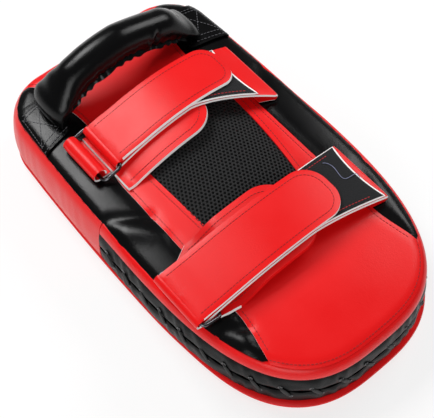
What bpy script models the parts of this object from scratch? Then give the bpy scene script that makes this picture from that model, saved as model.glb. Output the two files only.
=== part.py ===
"""Arm-held focus pad: laced foam body, padded grip handle and two wrap-round forearm straps.

Metres, +Z up. The striking face lies on z = 0, the handle is toward +Y, the round end toward -Y.
"""

import math

import bmesh
import bpy
import numpy as np
from mathutils import Vector
from mathutils.geometry import delaunay_2d_cdt

# Body of the pad
LENGTH = 0.352
HALF_WIDTH = 0.100
HANDLE_HALF_WIDTH = 0.0955
CORNER_RADIUS = 0.040
ROUND_POWER = 2.95
FLARE = 0.005
FLARE_HEIGHT = 0.018
BACK_HEIGHT = 0.0585
CROWN = 0.004
GAP = 0.0003
SKIN = 0.0022
COVER_SKIN = 0.0025
COVER_RIM = 0.0085
FOAM_INSET = 0.0070
FOAM_HEIGHTS = (0.020, 0.038)
SEAM_Y = 0.028

# Laced band round the round end
RIM_BOTTOM = 0.0458
BAND_SPLIT = 0.0272
SPLIT_GAP = 0.0012
LACE_RADIUS = 0.0012
LACE_HOLE = 0.0025
LACE_PITCH = 0.0215
LACE_SLANT = 0.0040
LACE_EDGE = 0.0056

# Back panels and the mesh window
PANEL_EDGE = (
    (0.180, 0.072),
    (0.158, 0.0595),
    (0.110, 0.0535),
    (0.040, 0.067),
    (-0.020, 0.067),
    (-0.098, 0.069),
    (-0.150, 0.0765),
)
SEAM_GAP = 0.0004
WINDOW_TOP = 0.070
WINDOW_BOTTOM = -0.050
WINDOW_HALF_TOP = 0.0480
WINDOW_HALF_BOTTOM = 0.0440
WINDOW_CORNER = 0.016
WINDOW_BOW = 0.0065
WINDOW_BOW_Y = 0.034
WINDOW_BOW_REACH = 0.082
WINDOW_SHIFT = 0.0030
MESH_SKIN = 0.0012
MESH_RISE = 0.0035

# Handle and its sewn tabs
HANDLE_INSET = 0.0440
FOOT_RISE = 0.0137
GRIP_RISE = 0.0435
HANDLE_Y = LENGTH / 2 - HANDLE_INSET
FOOT_HEIGHT = BACK_HEIGHT + FOOT_RISE
HANDLE_HALF_SPAN = 0.074
HANDLE_TOP = BACK_HEIGHT + GRIP_RISE
GRIP_RADIUS = 0.0144
FOOT_RADIUS = 0.0095
SLEEVE_SKIN = 0.0015
WELT_WIDTH = 0.0050
WELT_SKIN = 0.0016
TAB_INNER = 0.060
TAB_BELOW = 0.0300
TAB_ABOVE = 0.0220
TAB_LOW_Y = HANDLE_Y - TAB_BELOW
TAB_HIGH_Y = HANDLE_Y + TAB_ABOVE
TAB_SKIN = 0.0024

# Straps
STRAP_SKIN = 0.0020
PATCH_SKIN = 0.0010
TONGUE_SKIN = 0.0030
TONGUE_LIFT = 0.0009
KEEPER_SKIN = 0.0018
WIRE_RADIUS = 0.0015
WIRE_PLAY = 0.0012
FOLD_RADIUS = 0.0025
ROOT_TUCK = 0.0060
HOOK_INSET = 0.0050
PATCH_INSET = 0.0013
RING_PAST = 0.0026
# Each strap's y edges are given from its middle line, which lies at a share of the pad's length.
UPPER = {
    "middle": 0.21449,
    "flap_y": (-0.0210, 0.0210),
    "root_y": (-0.0490, 0.0160),
    "tongue_y": (-0.0405, 0.0200),
    "keeper_y": (-0.0180, 0.0180),
    "bar_x": -0.0590,
    "held_x": -0.0765,
    "fold_x": 0.0785,
    "rise": 0.0130,
    "flap_end": 0.0640,
    "tongue_start": -0.0655,
    "tongue_end": 0.0260,
    "tongue_climb": 0.0120,
}
LOWER = {
    "middle": -0.18892,
    "flap_y": (-0.0240, 0.0240),
    "root_y": (-0.0335, 0.0265),
    "tongue_y": (-0.0295, 0.0355),
    "keeper_y": (-0.0205, 0.0205),
    "bar_x": -0.0975,
    "held_x": -0.0800,
    "fold_x": 0.0790,
    "rise": 0.0110,
    "flap_end": 0.0500,
    "tongue_start": -0.0655,
    "tongue_end": 0.0240,
    "tongue_climb": 0.0300,
}
for strap in (UPPER, LOWER):
    for edges in ("flap_y", "root_y", "tongue_y", "keeper_y"):
        strap[edges] = tuple(strap["middle"] * LENGTH + offset for offset in strap[edges])

RED = (0.78, 0.02, 0.03, 1.0)
BLACK = (0.012, 0.012, 0.013, 1.0)
MESH_BLACK = (0.02, 0.02, 0.02, 1.0)
FOAM_GREY = (0.35, 0.35, 0.36, 1.0)
STEEL = (0.6, 0.6, 0.62, 1.0)

for old in list(bpy.data.objects):
    bpy.data.objects.remove(old, do_unlink=True)


def add(name, points, faces, colour, roughness, metallic=0.0):
    """One closed body as an object with its own material."""
    mesh = bpy.data.meshes.new(name)
    mesh.from_pydata([tuple(p) for p in points], [], [tuple(f) for f in faces])
    shape = bmesh.new()
    shape.from_mesh(mesh)
    bmesh.ops.recalc_face_normals(shape, faces=shape.faces)
    if shape.calc_volume(signed=True) < 0:
        bmesh.ops.reverse_faces(shape, faces=shape.faces)
    shape.to_mesh(mesh)
    shape.free()
    piece = bpy.data.objects.new(name, mesh)
    bpy.context.scene.collection.objects.link(piece)
    material = bpy.data.materials.new(name)
    material.use_nodes = True
    shader = material.node_tree.nodes["Principled BSDF"]
    shader.inputs["Base Color"].default_value = colour
    shader.inputs["Roughness"].default_value = roughness
    shader.inputs["Metallic"].default_value = metallic
    mesh.materials.append(material)
    return piece


def outline_points():
    """Plan of the back, anticlockwise from the middle of the handle end, closely and evenly spaced."""
    corner_y = LENGTH / 2 - CORNER_RADIUS
    left = []
    for t in np.linspace(math.pi / 2, math.pi, 25):
        x = -(HANDLE_HALF_WIDTH - CORNER_RADIUS) + CORNER_RADIUS * math.cos(t)
        left.append((x, corner_y + CORNER_RADIUS * math.sin(t)))
    for y in np.linspace(corner_y, 0, 20)[1:]:
        left.append((-HALF_WIDTH + (HALF_WIDTH - HANDLE_HALF_WIDTH) * (y / corner_y) ** 2, y))
    for t in np.linspace(0, math.pi / 2, 60)[1:]:
        x = -HALF_WIDTH * math.cos(t) ** (2 / ROUND_POWER) if t < math.pi / 2 - 1e-9 else 0.0
        left.append((x, -LENGTH / 2 * math.sin(t) ** (2 / ROUND_POWER)))
    half = [(0.0, LENGTH / 2)] + left
    whole = half + [(-x, y) for x, y in reversed(half[1:-1])]
    ring = np.array(whole + whole[:1])
    steps = np.concatenate([[0], np.cumsum(np.linalg.norm(np.diff(ring, axis=0), axis=1))])
    even = np.linspace(0, steps[-1], 721)
    return np.stack([np.interp(even, steps, ring[:, k]) for k in (0, 1)], axis=1)[:-1], steps[-1]


PLAN, PERIMETER = outline_points()
TANGENT = np.roll(PLAN, -4, axis=0) - np.roll(PLAN, 4, axis=0)
TANGENT /= np.linalg.norm(TANGENT, axis=1)[:, None]
NORMAL = np.stack([TANGENT[:, 1], -TANGENT[:, 0]], axis=1)


def along(s, offset):
    """Point of the outline at arc length s, moved outward by offset."""
    place = (s / PERIMETER % 1.0) * len(PLAN)
    i = int(place)
    share = place - i
    j = (i + 1) % len(PLAN)
    i %= len(PLAN)
    point = PLAN[i] * (1 - share) + PLAN[j] * share
    normal = NORMAL[i] * (1 - share) + NORMAL[j] * share
    return point + normal * offset


def loop_at(offset, count=96):
    return [along(PERIMETER * k / count, offset) for k in range(count)]


def flare(z):
    """How far the wall stands out from the outline of the back at this height."""
    return FLARE * (1 - ((z - FLARE_HEIGHT) / (BACK_HEIGHT - FLARE_HEIGHT)) ** 2)


def arc_at(y, side):
    """Arc length of the outline's point at this y, on the left (-1) or right (1) wall."""
    near = np.where(np.sign(PLAN[:, 0]) == side, np.abs(PLAN[:, 1] - y), 9.0)
    return PERIMETER * int(np.argmin(near)) / len(PLAN)


def half_width(y):
    """Half the width of the outline at this y."""
    near = np.where(PLAN[:, 0] > 0, np.abs(PLAN[:, 1] - y), 9.0)
    return PLAN[int(np.argmin(near)), 0]


def back_top(x, y):
    """Height of the back's skin, crowned toward the middle."""
    across = max(0.0, 1 - (x / HALF_WIDTH) ** 2)
    lengthwise = max(0.0, 1 - (2 * y / LENGTH) ** 2)
    return BACK_HEIGHT + CROWN * across * lengthwise


def inside_loops(loops, point):
    """Whether a flat point lies on the sheet: inside its edge and outside its holes."""
    found = False
    for ring in loops:
        for (u0, v0), (u1, v1) in zip(ring, ring[1:] + ring[:1]):
            if (v0 > point.y) != (v1 > point.y) and point.x < u0 + (u1 - u0) * (point.y - v0) / (v1 - v0):
                found = not found
    return found


def slab(name, loops, spacing, low, high, colour, roughness):
    """A sheet with thickness: the first loop is its edge, others are holes; low and high place its faces."""
    flat = [Vector((float(u), float(v))) for ring in loops for u, v in ring]
    edges = []
    start = 0
    for ring in loops:
        edges += [(start + k, start + (k + 1) % len(ring)) for k in range(len(ring))]
        start += len(ring)
    border = np.array([tuple(p) for p in flat])
    lo, hi = border.min(axis=0), border.max(axis=0)
    for u in np.arange(lo[0] + spacing / 2, hi[0], spacing):
        for v in np.arange(lo[1] + spacing / 2, hi[1], spacing):
            if np.linalg.norm(border - (u, v), axis=1).min() > spacing * 0.55:
                flat.append(Vector((float(u), float(v))))
    made, _, tris, _, _, _ = delaunay_2d_cdt(flat, edges, [], 0, 1e-7)
    tris = [tri for tri in tris if inside_loops(loops, sum((made[k] for k in tri), Vector((0, 0))) / 3)]
    used = sorted({k for tri in tris for k in tri})
    place = {k: n for n, k in enumerate(used)}
    count = len(used)
    points = [high(made[k].x, made[k].y) for k in used] + [low(made[k].x, made[k].y) for k in used]
    faces = []
    open_edges = {}
    for tri in tris:
        a = [place[k] for k in tri]
        faces.append(a)
        faces.append([k + count for k in reversed(a)])
        for k in range(len(a)):
            edge = (a[k], a[(k + 1) % len(a)])
            if edge[::-1] in open_edges:
                del open_edges[edge[::-1]]
            else:
                open_edges[edge] = True
    for i, j in open_edges:
        faces.append((j, i, i + count, j + count))
    return add(name, points, faces, colour, roughness)


def stack(name, loops, colour, roughness):
    """A body from closed loops of equal count, capped at both ends."""
    count = len(loops[0])
    points = [p for ring in loops for p in ring]
    faces = [list(range(count))[::-1], [k + count * (len(loops) - 1) for k in range(count)]]
    for n in range(len(loops) - 1):
        for k in range(count):
            m = (k + 1) % count
            faces.append((n * count + k, n * count + m, (n + 1) * count + m, (n + 1) * count + k))
    return add(name, points, faces, colour, roughness)


def level(offset, z):
    return [(p[0], p[1], z) for p in loop_at(offset)]


def frames(path, closed):
    """A pair of axes across the path at each of its points, carried along without twist."""
    path = [Vector(p) for p in path]
    count = len(path)
    tangents = []
    for k in range(count):
        before = path[k - 1] if k or closed else path[0]
        after = path[(k + 1) % count] if k < count - 1 or closed else path[-1]
        tangents.append(((after - path[k]).normalized() + (path[k] - before).normalized()).normalized())
    side = tangents[0].orthogonal().normalized()
    made = []
    for tangent in tangents:
        side = (side - tangent * side.dot(tangent)).normalized()
        made.append((side, tangent.cross(side)))
    return path, made


def tube(name, path, radius, colour, roughness, metallic=0.0, sides=8, closed=False, inner=None):
    """A round bar along a path; radius is one number or one for each point; inner makes it an open pipe."""
    path, axes = frames(path, closed)
    sizes = [radius] * len(path) if isinstance(radius, float) else radius

    def rings(sizes):
        made = []
        for point, (a, b), size in zip(path, axes, sizes):
            for k in range(sides):
                angle = 2 * math.pi * k / sides
                made.append(point + a * (size * math.cos(angle)) + b * (size * math.sin(angle)))
        return made

    def skin(start, count):
        made = []
        for n in range(count if closed else count - 1):
            for k in range(sides):
                m = (k + 1) % sides
                p, q = start + n * sides, start + (n + 1) % count * sides
                made.append((p + k, p + m, q + m, q + k))
        return made

    points = rings(sizes)
    count = len(path)
    faces = skin(0, count)
    last = (count - 1) * sides
    if inner is not None:
        start = len(points)
        points += rings([size - inner for size in sizes])
        faces += [face[::-1] for face in skin(start, count)]
        for end in (0, last):
            for k in range(sides):
                m = (k + 1) % sides
                faces.append((end + k, end + m, start + end + m, start + end + k))
    elif not closed:
        faces += [list(range(sides))[::-1], [last + k for k in range(sides)]]
    return add(name, points, faces, colour, roughness, metallic)


def ribbon(name, path, skin, reach, colour, roughness):
    """A flat strap: its path is in x and z, reach gives its two y edges at each point."""
    path = [Vector((x, z)) for x, z in path]
    rings = []
    for k, point in enumerate(path):
        ahead = path[min(k + 1, len(path) - 1)] - path[max(k - 1, 0)]
        up = Vector((-ahead.y, ahead.x)).normalized() * (skin / 2)
        low, high = reach[k]
        over, under = point + up, point - up
        upper_side = [(over.x, low, over.y), (over.x, high, over.y)]
        rings.append(upper_side + [(under.x, high, under.y), (under.x, low, under.y)])
    return stack(name, rings, colour, roughness)


def rounded(edges, distances, radius):
    """The y edges of a strap whose far end is rounded; distances count back from that end."""
    low, high = edges
    made = []
    for distance in distances:
        cut = radius - math.sqrt(max(0.0, radius**2 - max(0.0, radius - distance) ** 2))
        cut = min(cut, radius * 0.86)
        made.append((low + cut, high - cut))
    return made


# Foam core and striking cover
inside = -FOAM_INSET
floor = COVER_SKIN + GAP
chamfer = COVER_RIM - COVER_SKIN
impact = [level(inside - chamfer, floor), level(inside, floor + chamfer / 2), level(inside, FOAM_HEIGHTS[0])]
stack("impact_foam", impact, FOAM_GREY, 0.9)
stack("core_foam", [level(inside, FOAM_HEIGHTS[0] + GAP), level(inside, FOAM_HEIGHTS[1])], FOAM_GREY, 0.9)
slab(
    "back_foam",
    [[tuple(p) for p in loop_at(inside)]],
    0.020,
    lambda x, y: (x, y, FOAM_HEIGHTS[1] + GAP),
    lambda x, y: (x, y, back_top(x, y) - SKIN - 2 * GAP),
    FOAM_GREY,
    0.9,
)
edge = flare(COVER_RIM)
stack(
    "striking_cover",
    [
        level(inside - 0.004, 0.0),
        level(edge - 0.0045, 0.0008),
        level(edge - 0.0008, 0.0042),
        level(edge, COVER_RIM - GAP),
        level(edge - COVER_SKIN, COVER_RIM - GAP),
        level(edge - 0.0038, 0.0052),
        level(inside - 0.004, COVER_SKIN),
    ],
    RED,
    0.4,
)


def on_wall(depth):
    """Places a flat strip, cut in arc length and height, at this depth below the wall's outer face."""

    def place(s, z):
        p = along(s, flare(z) - depth)
        return (p[0], p[1], z)

    return place


def strip(start, end, low, high, step=0.0075):
    """Edge loop of a wall strip, with points close enough to follow the bends."""
    count = max(2, round((end - start) / step))
    run = np.linspace(start, end, count + 1)
    rows = max(1, round((high - low) / 0.012))
    rise = np.linspace(low, high, rows + 1)
    ring = [(s, low) for s in run] + [(end, z) for z in rise[1:]]
    return ring + [(s, high) for s in run[::-1][1:]] + [(start, z) for z in rise[::-1][1:-1]]


# Wall: red gusset round the handle end, laced band and rim strip round the round end
seam_left = arc_at(SEAM_Y, -1)
seam_right = arc_at(SEAM_Y, 1)
wall_top = BACK_HEIGHT - SKIN - GAP
band_start = seam_left + GAP
band_end = seam_right - GAP
gusset = strip(seam_right, seam_left + PERIMETER, COVER_RIM, wall_top)
slab("handle_end_gusset", [gusset], 0.012, on_wall(SKIN), on_wall(0.0), RED, 0.4)
rim = strip(band_start, band_end, RIM_BOTTOM, wall_top)
slab("rim_strip", [rim], 0.012, on_wall(SKIN), on_wall(0.0), RED, 0.4)

crossings = int((band_end - band_start - 0.020) / LACE_PITCH) + 1
first = (band_start + band_end - (crossings - 1) * LACE_PITCH) / 2
upper_hole_z = BAND_SPLIT + SPLIT_GAP / 2 + LACE_EDGE
lower_hole_z = BAND_SPLIT - SPLIT_GAP / 2 - LACE_EDGE


def hole(s, z):
    turns = [math.pi * k / 3 for k in range(6)]
    return [(s + LACE_HOLE * math.cos(t), z + LACE_HOLE * math.sin(t)) for t in turns]


def lace_flap(name, low, high, hole_z, slant):
    holes = [hole(first + k * LACE_PITCH + slant, hole_z) for k in range(crossings)]
    edge_loop = strip(band_start, band_end, low, high, LACE_PITCH / 3)
    slab(name, [edge_loop] + holes, 0.012, on_wall(SKIN), on_wall(0.0), BLACK, 0.35)


lace_flap("upper_lace_flap", BAND_SPLIT + SPLIT_GAP / 2, RIM_BOTTOM - GAP, upper_hole_z, -LACE_SLANT)
lace_flap("lower_lace_flap", COVER_RIM, BAND_SPLIT - SPLIT_GAP / 2, lower_hole_z, LACE_SLANT)

front = on_wall(-LACE_RADIUS - GAP)
behind = on_wall(SKIN + LACE_RADIUS + GAP)
lace_path = []
for k in range(crossings):
    middle = first + k * LACE_PITCH
    high_end = (middle - LACE_SLANT, upper_hole_z)
    low_end = (middle + LACE_SLANT, lower_hole_z)
    lace_path += [behind(*high_end), front(*high_end), front(*low_end), behind(*low_end)]
tube("lace", lace_path, LACE_RADIUS, BLACK, 0.6, sides=6)

# Back: side panels, centre panel with its window, mesh cushion
edge_y = np.array([y for y, _ in PANEL_EDGE][::-1])
edge_x = np.array([x for _, x in PANEL_EDGE][::-1])


def panel_edge(y):
    """Half the width of the centre panel at this y, eased between the measured places."""
    k = int(np.clip(np.searchsorted(edge_y, y) - 1, 0, len(edge_y) - 2))
    share = np.clip((y - edge_y[k]) / (edge_y[k + 1] - edge_y[k]), 0, 1)
    share = share * share * (3 - 2 * share)
    return float(edge_x[k] * (1 - share) + edge_x[k + 1] * share)


def back_skin(thickness, lift=0.0):
    """Bottom and top of a skin on the back, lifted above the panels' own level."""
    return (
        lambda x, y: (x, y, back_top(x, y) + lift - thickness),
        lambda x, y: (x, y, back_top(x, y) + lift),
    )


rim_loop = [along(PERIMETER * k / 180, -0.001) for k in range(180)]
panel_low, panel_high = back_skin(SKIN)


def crossing_y(side_gap):
    """Where the centre panel's edge meets the outline of the round end."""
    return min(p[1] for p in rim_loop if p[0] > panel_edge(p[1]) + side_gap and p[1] < 0)


tip_y = crossing_y(0.003)
head_y = max(p[1] for p in rim_loop if p[0] > panel_edge(p[1]) + 0.003)
edge_run = np.linspace(head_y, tip_y, 40)
for name, side in (("left_side_panel", -1), ("right_side_panel", 1)):
    outer = [p for p in rim_loop if p[0] * side > panel_edge(p[1]) + 0.002 and tip_y < p[1] <= head_y]
    if side == 1:
        outer = outer[::-1]
    inner = [(side * (panel_edge(y) + SEAM_GAP), y) for y in edge_run]
    slab(name, [[tuple(p) for p in outer] + inner[::-1]], 0.014, panel_low, panel_high, BLACK, 0.35)

handle_end = [tuple(p) for p in rim_loop if p[1] > head_y + 0.001]
handle_end = [p for p in handle_end if abs(p[0]) < panel_edge(p[1]) - SEAM_GAP]
handle_end.sort(reverse=True)
round_end = [tuple(p) for p in rim_loop if p[1] < tip_y - 0.001 and abs(p[0]) < panel_edge(p[1]) - SEAM_GAP]
round_end.sort()
left_edge = [(-panel_edge(y), y) for y in edge_run]
right_edge = [(panel_edge(y), y) for y in edge_run[::-1]]


def window(shrink):
    """Loop of the mesh window, bowed out on the right, drawn in by shrink."""
    corner = WINDOW_CORNER - shrink
    top, bottom = WINDOW_TOP - shrink, WINDOW_BOTTOM + shrink
    wide, narrow = WINDOW_HALF_TOP - shrink, WINDOW_HALF_BOTTOM - shrink
    corners = ((wide, top, 0), (-wide, top, 1), (-narrow, bottom, 2), (narrow, bottom, 3))
    ring = []
    for x, y, quarter in corners:
        centre = (x - math.copysign(corner, x), y - corner if quarter < 2 else y + corner)
        for t in np.linspace(0, math.pi / 2, 6):
            angle = quarter * math.pi / 2 + t
            ring.append((centre[0] + corner * math.cos(angle), centre[1] + corner * math.sin(angle)))
    dense = []
    for k, p in enumerate(ring):
        q = ring[(k + 1) % len(ring)]
        parts = max(1, round(math.dist(p, q) / 0.010))
        dense += [(p[0] + (q[0] - p[0]) * n / parts, p[1] + (q[1] - p[1]) * n / parts) for n in range(parts)]
    bowed = []
    for x, y in dense:
        bow = WINDOW_SHIFT
        if x > 0:
            bow = WINDOW_BOW * max(0.0, 1 - ((y - WINDOW_BOW_Y) / WINDOW_BOW_REACH) ** 2)
        bowed.append((x + bow * min(1.0, abs(x) / (0.6 * WINDOW_HALF_TOP)), y))
    return bowed


slab(
    "centre_panel",
    [handle_end + left_edge + round_end + right_edge, window(0.0)],
    0.014,
    panel_low,
    panel_high,
    RED,
    0.4,
)


def mesh_rise(x, y):
    """Crown of the mesh cushion above the panels, drawn down to its edge."""
    middle = (WINDOW_TOP + WINDOW_BOTTOM) / 2
    half_long = (WINDOW_TOP - WINDOW_BOTTOM) / 2
    reach = max(abs(x) / WINDOW_HALF_TOP, abs(y - middle) / half_long)
    return MESH_RISE * max(0.0, 1 - reach**3)


slab(
    "mesh_foam",
    [window(0.0008)],
    0.011,
    lambda x, y: (x, y, back_top(x, y) - SKIN),
    lambda x, y: (x, y, back_top(x, y) - MESH_SKIN - GAP + mesh_rise(x, y)),
    FOAM_GREY,
    0.9,
)
slab(
    "mesh_cover",
    [window(0.0008)],
    0.011,
    lambda x, y: (x, y, back_top(x, y) - MESH_SKIN + mesh_rise(x, y)),
    lambda x, y: (x, y, back_top(x, y) + mesh_rise(x, y)),
    MESH_BLACK,
    0.8,
)

# Handle: tabs sewn to the back, foam core, sleeve and the seam welt under it
tab_low, tab_high = back_skin(TAB_SKIN, TAB_SKIN + GAP)
for name, side in (("left_handle_tab", -1), ("right_handle_tab", 1)):
    tab_run = np.linspace(TAB_LOW_Y, TAB_HIGH_Y, 8)
    outer = [(side * (half_width(y) - 0.002), y) for y in tab_run]
    inner = [(side * TAB_INNER, y) for y in tab_run[::-1]]
    slab(name, [outer + inner], 0.014, tab_low, tab_high, BLACK, 0.35)

turns = np.linspace(-1, 1, 29)
handle_x = [HANDLE_HALF_SPAN * math.copysign(abs(t) ** 0.92, t) for t in turns]
handle_z = [FOOT_HEIGHT + (HANDLE_TOP - FOOT_HEIGHT) * (1 - abs(t) ** 2.2) ** 0.9 for t in turns]
handle_path = [(x, HANDLE_Y, z) for x, z in zip(handle_x, handle_z)]
swell = [min(1.0, (1 - abs(t)) / 0.42) for t in turns]
grip = [FOOT_RADIUS + (GRIP_RADIUS - FOOT_RADIUS) * s * s * (3 - 2 * s) for s in swell]
tube("handle_sleeve", handle_path, grip, BLACK, 0.3, sides=20, inner=SLEEVE_SKIN)
core = [r - SLEEVE_SKIN - GAP for r in grip]
tube("handle_foam", handle_path, core, FOAM_GREY, 0.9, sides=14)
welt_rings = []
slant = Vector((0, -0.75, -0.66)).normalized()
welt_up = Vector((0, -slant.z, slant.y)) * (WELT_SKIN / 2)
for k in range(5, 24):
    reach = grip[k] + 3 * GAP
    base = Vector(handle_path[k]) + slant * reach
    tip = base + slant * WELT_WIDTH
    corners = (base + welt_up, tip + welt_up, tip - welt_up, base - welt_up)
    welt_rings.append([tuple(corner) for corner in corners])
stack("handle_welt", welt_rings, BLACK, 0.35)


def straps(prefix, size):
    """One wrap-round strap: base, loop patch, folding flap, hook patch, ring, keeper and tongue."""
    bar_x, held_x, fold_x = size["bar_x"], size["held_x"], size["fold_x"]
    middle_y = sum(size["flap_y"]) / 2
    span = fold_x - bar_x
    wrap = WIRE_RADIUS + WIRE_PLAY + STRAP_SKIN / 2
    round_bar = WIRE_RADIUS + GAP + KEEPER_SKIN / 2
    low_leg = back_top(panel_edge(middle_y) - 2 * ROOT_TUCK, middle_y) + 2 * GAP + STRAP_SKIN / 2
    high_leg = low_leg + 2 * FOLD_RADIUS
    held_z = back_top(size["tongue_start"], middle_y) + 2 * GAP + KEEPER_SKIN / 2 + round_bar
    near_y = min(abs(y) for y in size["tongue_y"])
    over_tongue = back_top(bar_x, near_y) + TONGUE_LIFT + GAP + TONGUE_SKIN + STRAP_SKIN / 2
    held_share = max(0.0, (held_x - bar_x) / span)
    climb = size["rise"] * 4 * held_share * (1 - held_share)
    over_keeper = held_z + round_bar + KEEPER_SKIN / 2 + 2 * GAP + STRAP_SKIN / 2 - climb
    start_z = max(over_tongue, over_keeper) if held_x > bar_x else over_tongue
    bar_z = start_z + wrap

    def base_z(x):
        share = (x - bar_x) / span
        ease = share * share * (3 - 2 * share)
        return start_z + (high_leg - start_z) * ease + size["rise"] * 4 * share * (1 - share)

    # base: sewn at the right seam, folded back, over the arm, under the ring's bar and up round it
    root = panel_edge(middle_y) - ROOT_TUCK
    path = [(x, low_leg) for x in np.linspace(root, fold_x, 4)]
    for t in np.linspace(-math.pi / 2, math.pi / 2, 7)[1:-1]:
        path.append((fold_x + FOLD_RADIUS * math.cos(t), low_leg + FOLD_RADIUS * (1 + math.sin(t))))
    path += [(x, base_z(x)) for x in np.linspace(fold_x, bar_x, 26)]
    for t in np.linspace(-math.pi / 2, -3 * math.pi / 2, 9)[1:]:
        path.append((bar_x + wrap * math.cos(t), bar_z + wrap * math.sin(t)))

    def base_edges(x):
        share = float(np.clip((x - 0.012) / (fold_x - 0.012), 0, 1)) ** 1.3
        low = size["flap_y"][0] * (1 - share) + size["root_y"][0] * share
        high = size["flap_y"][1] * (1 - share) + size["root_y"][1] * share
        return low, high

    reach = [base_edges(x) for x, _ in path]
    ribbon(prefix + "_strap_base", path, STRAP_SKIN, reach, RED, 0.4)

    # loop patch on top of the base
    lift = STRAP_SKIN / 2 + GAP + PATCH_SKIN / 2
    run = np.linspace(fold_x - 0.004, bar_x + 0.026, 22)
    inset = [(low + PATCH_INSET, high - PATCH_INSET) for low, high in map(base_edges, run)]
    ribbon(prefix + "_loop_patch", [(x, base_z(x) + lift) for x in run], PATCH_SKIN, inset, BLACK, 0.95)

    # flap: from the top of the fold back over the base, its far end rounded
    over = 2 * GAP + 2 * PATCH_SKIN + STRAP_SKIN + GAP

    def flap_z(x):
        share = float(np.clip((x - bar_x) / 0.026, 0, 1))
        ease = share * share * (3 - 2 * share)
        return base_z(x) + 2 * wrap * (1 - ease) + over * ease

    end = size["flap_end"]
    round_off = (size["flap_y"][1] - size["flap_y"][0]) * 0.42
    tail = [end - round_off * (1 - math.cos(t)) for t in np.linspace(0, math.pi / 2, 8)][::-1]
    run = list(np.linspace(bar_x + GAP, tail[0], 24)[:-1]) + tail
    edges = rounded(size["flap_y"], [end - x for x in run], round_off)
    ribbon(prefix + "_strap_flap", [(x, flap_z(x)) for x in run], STRAP_SKIN, edges, RED, 0.4)

    # hook patch under the flap
    drop = STRAP_SKIN / 2 + GAP + PATCH_SKIN / 2
    run = np.linspace(bar_x + 0.030, end - round_off * 0.55, 18)
    hook_edges = [(size["flap_y"][0] + HOOK_INSET, size["flap_y"][1] - HOOK_INSET)] * len(run)
    ribbon(prefix + "_hook_patch", [(x, flap_z(x) - drop) for x in run], PATCH_SKIN, hook_edges, BLACK, 0.95)

    # wire ring: one bar in the keeper, the other in the strap's fold
    ring_low = size["flap_y"][0] - RING_PAST
    ring_high = size["flap_y"][1] + RING_PAST
    bend = 0.004
    away = Vector((bar_x - held_x, bar_z - held_z))
    plane = []
    corners = ((0, ring_low), (1, ring_low), (1, ring_high), (0, ring_high))
    arms = ((1, 1), (-1, 1), (-1, -1), (1, -1))
    for (share, y), (inward, along_y), quarter in zip(corners, arms, (2, 3, 0, 1)):
        for t in np.linspace(0, math.pi / 2, 4):
            angle = quarter * math.pi / 2 + t
            u = share * away.length + inward * bend + bend * math.cos(angle)
            plane.append((u, y + along_y * bend + bend * math.sin(angle)))
    unit = away.normalized()
    ring_path = [(held_x + unit.x * u, y, held_z + unit.y * u) for u, y in plane]
    tube(prefix + "_ring", ring_path, WIRE_RADIUS, STEEL, 0.25, 1.0, closed=True)

    # keeper: short strap looped round the ring's held bar, its tail sewn into the left seam
    path = [(x, held_z - round_bar) for x in np.linspace(size["tongue_start"] - 0.0012, held_x, 4)]
    for t in np.linspace(-math.pi / 2, -math.pi / 2 - math.radians(290), 15)[1:]:
        path.append((held_x + round_bar * math.cos(t), held_z + round_bar * math.sin(t)))
    ribbon(prefix + "_keeper", path, KEEPER_SKIN, [size["keeper_y"]] * len(path), RED, 0.4)

    # tongue: comfort flap from the left seam, lying under the base
    under = STRAP_SKIN / 2 + GAP + TONGUE_SKIN / 2
    begin, finish = size["tongue_start"], size["tongue_end"]
    round_off = (size["tongue_y"][1] - size["tongue_y"][0]) * 0.45
    tail = [finish - round_off * (1 - math.cos(t)) for t in np.linspace(0, math.pi / 2, 8)][::-1]
    run = list(np.linspace(begin, tail[0], 14)[:-1]) + tail
    rest_z = back_top(max(begin, bar_x), near_y) + TONGUE_LIFT + TONGUE_SKIN / 2

    def tongue_z(x):
        share = float(np.clip((x - begin) / size["tongue_climb"], 0, 1))
        ease = share * share * (3 - 2 * share)
        return min(rest_z * (1 - ease) + (base_z(x) - under) * ease, base_z(max(x, bar_x)) - under)

    edges = rounded(size["tongue_y"], [finish - x for x in run], round_off)
    ribbon(prefix + "_tongue", [(x, tongue_z(x)) for x in run], TONGUE_SKIN, edges, RED, 0.4)


straps("upper", UPPER)
straps("lower", LOWER)
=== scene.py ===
import math

import bpy
import numpy as np
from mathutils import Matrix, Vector
from mathutils.geometry import delaunay_2d_cdt


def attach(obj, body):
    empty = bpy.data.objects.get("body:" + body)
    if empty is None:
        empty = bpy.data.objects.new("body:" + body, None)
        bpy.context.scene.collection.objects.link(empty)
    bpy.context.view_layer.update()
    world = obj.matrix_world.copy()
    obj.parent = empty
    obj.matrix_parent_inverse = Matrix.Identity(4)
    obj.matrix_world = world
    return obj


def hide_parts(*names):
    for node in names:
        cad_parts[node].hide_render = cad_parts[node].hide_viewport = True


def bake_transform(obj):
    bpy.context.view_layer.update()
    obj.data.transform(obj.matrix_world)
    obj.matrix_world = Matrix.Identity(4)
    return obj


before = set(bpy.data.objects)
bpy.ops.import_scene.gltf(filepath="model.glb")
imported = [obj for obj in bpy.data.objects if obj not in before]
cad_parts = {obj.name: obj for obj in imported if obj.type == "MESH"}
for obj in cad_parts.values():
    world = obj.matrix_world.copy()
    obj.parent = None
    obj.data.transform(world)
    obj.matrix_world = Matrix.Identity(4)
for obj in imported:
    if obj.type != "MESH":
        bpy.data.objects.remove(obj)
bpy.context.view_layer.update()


# Studio
# A white paper floor as in a catalogue shot. One soft light stands above and behind the handle, a fill
# at the front left and a weak light at the right; a long lens looks down on the strapped back.
def linear(code):
    """A colour written as sRGB hex, as the linear values that Blender takes."""
    parts = [int(code[k : k + 2], 16) / 255 for k in (1, 3, 5)]
    return tuple(c / 12.92 if c <= 0.04045 else ((c + 0.055) / 1.055) ** 2.4 for c in parts) + (1.0,)


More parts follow.
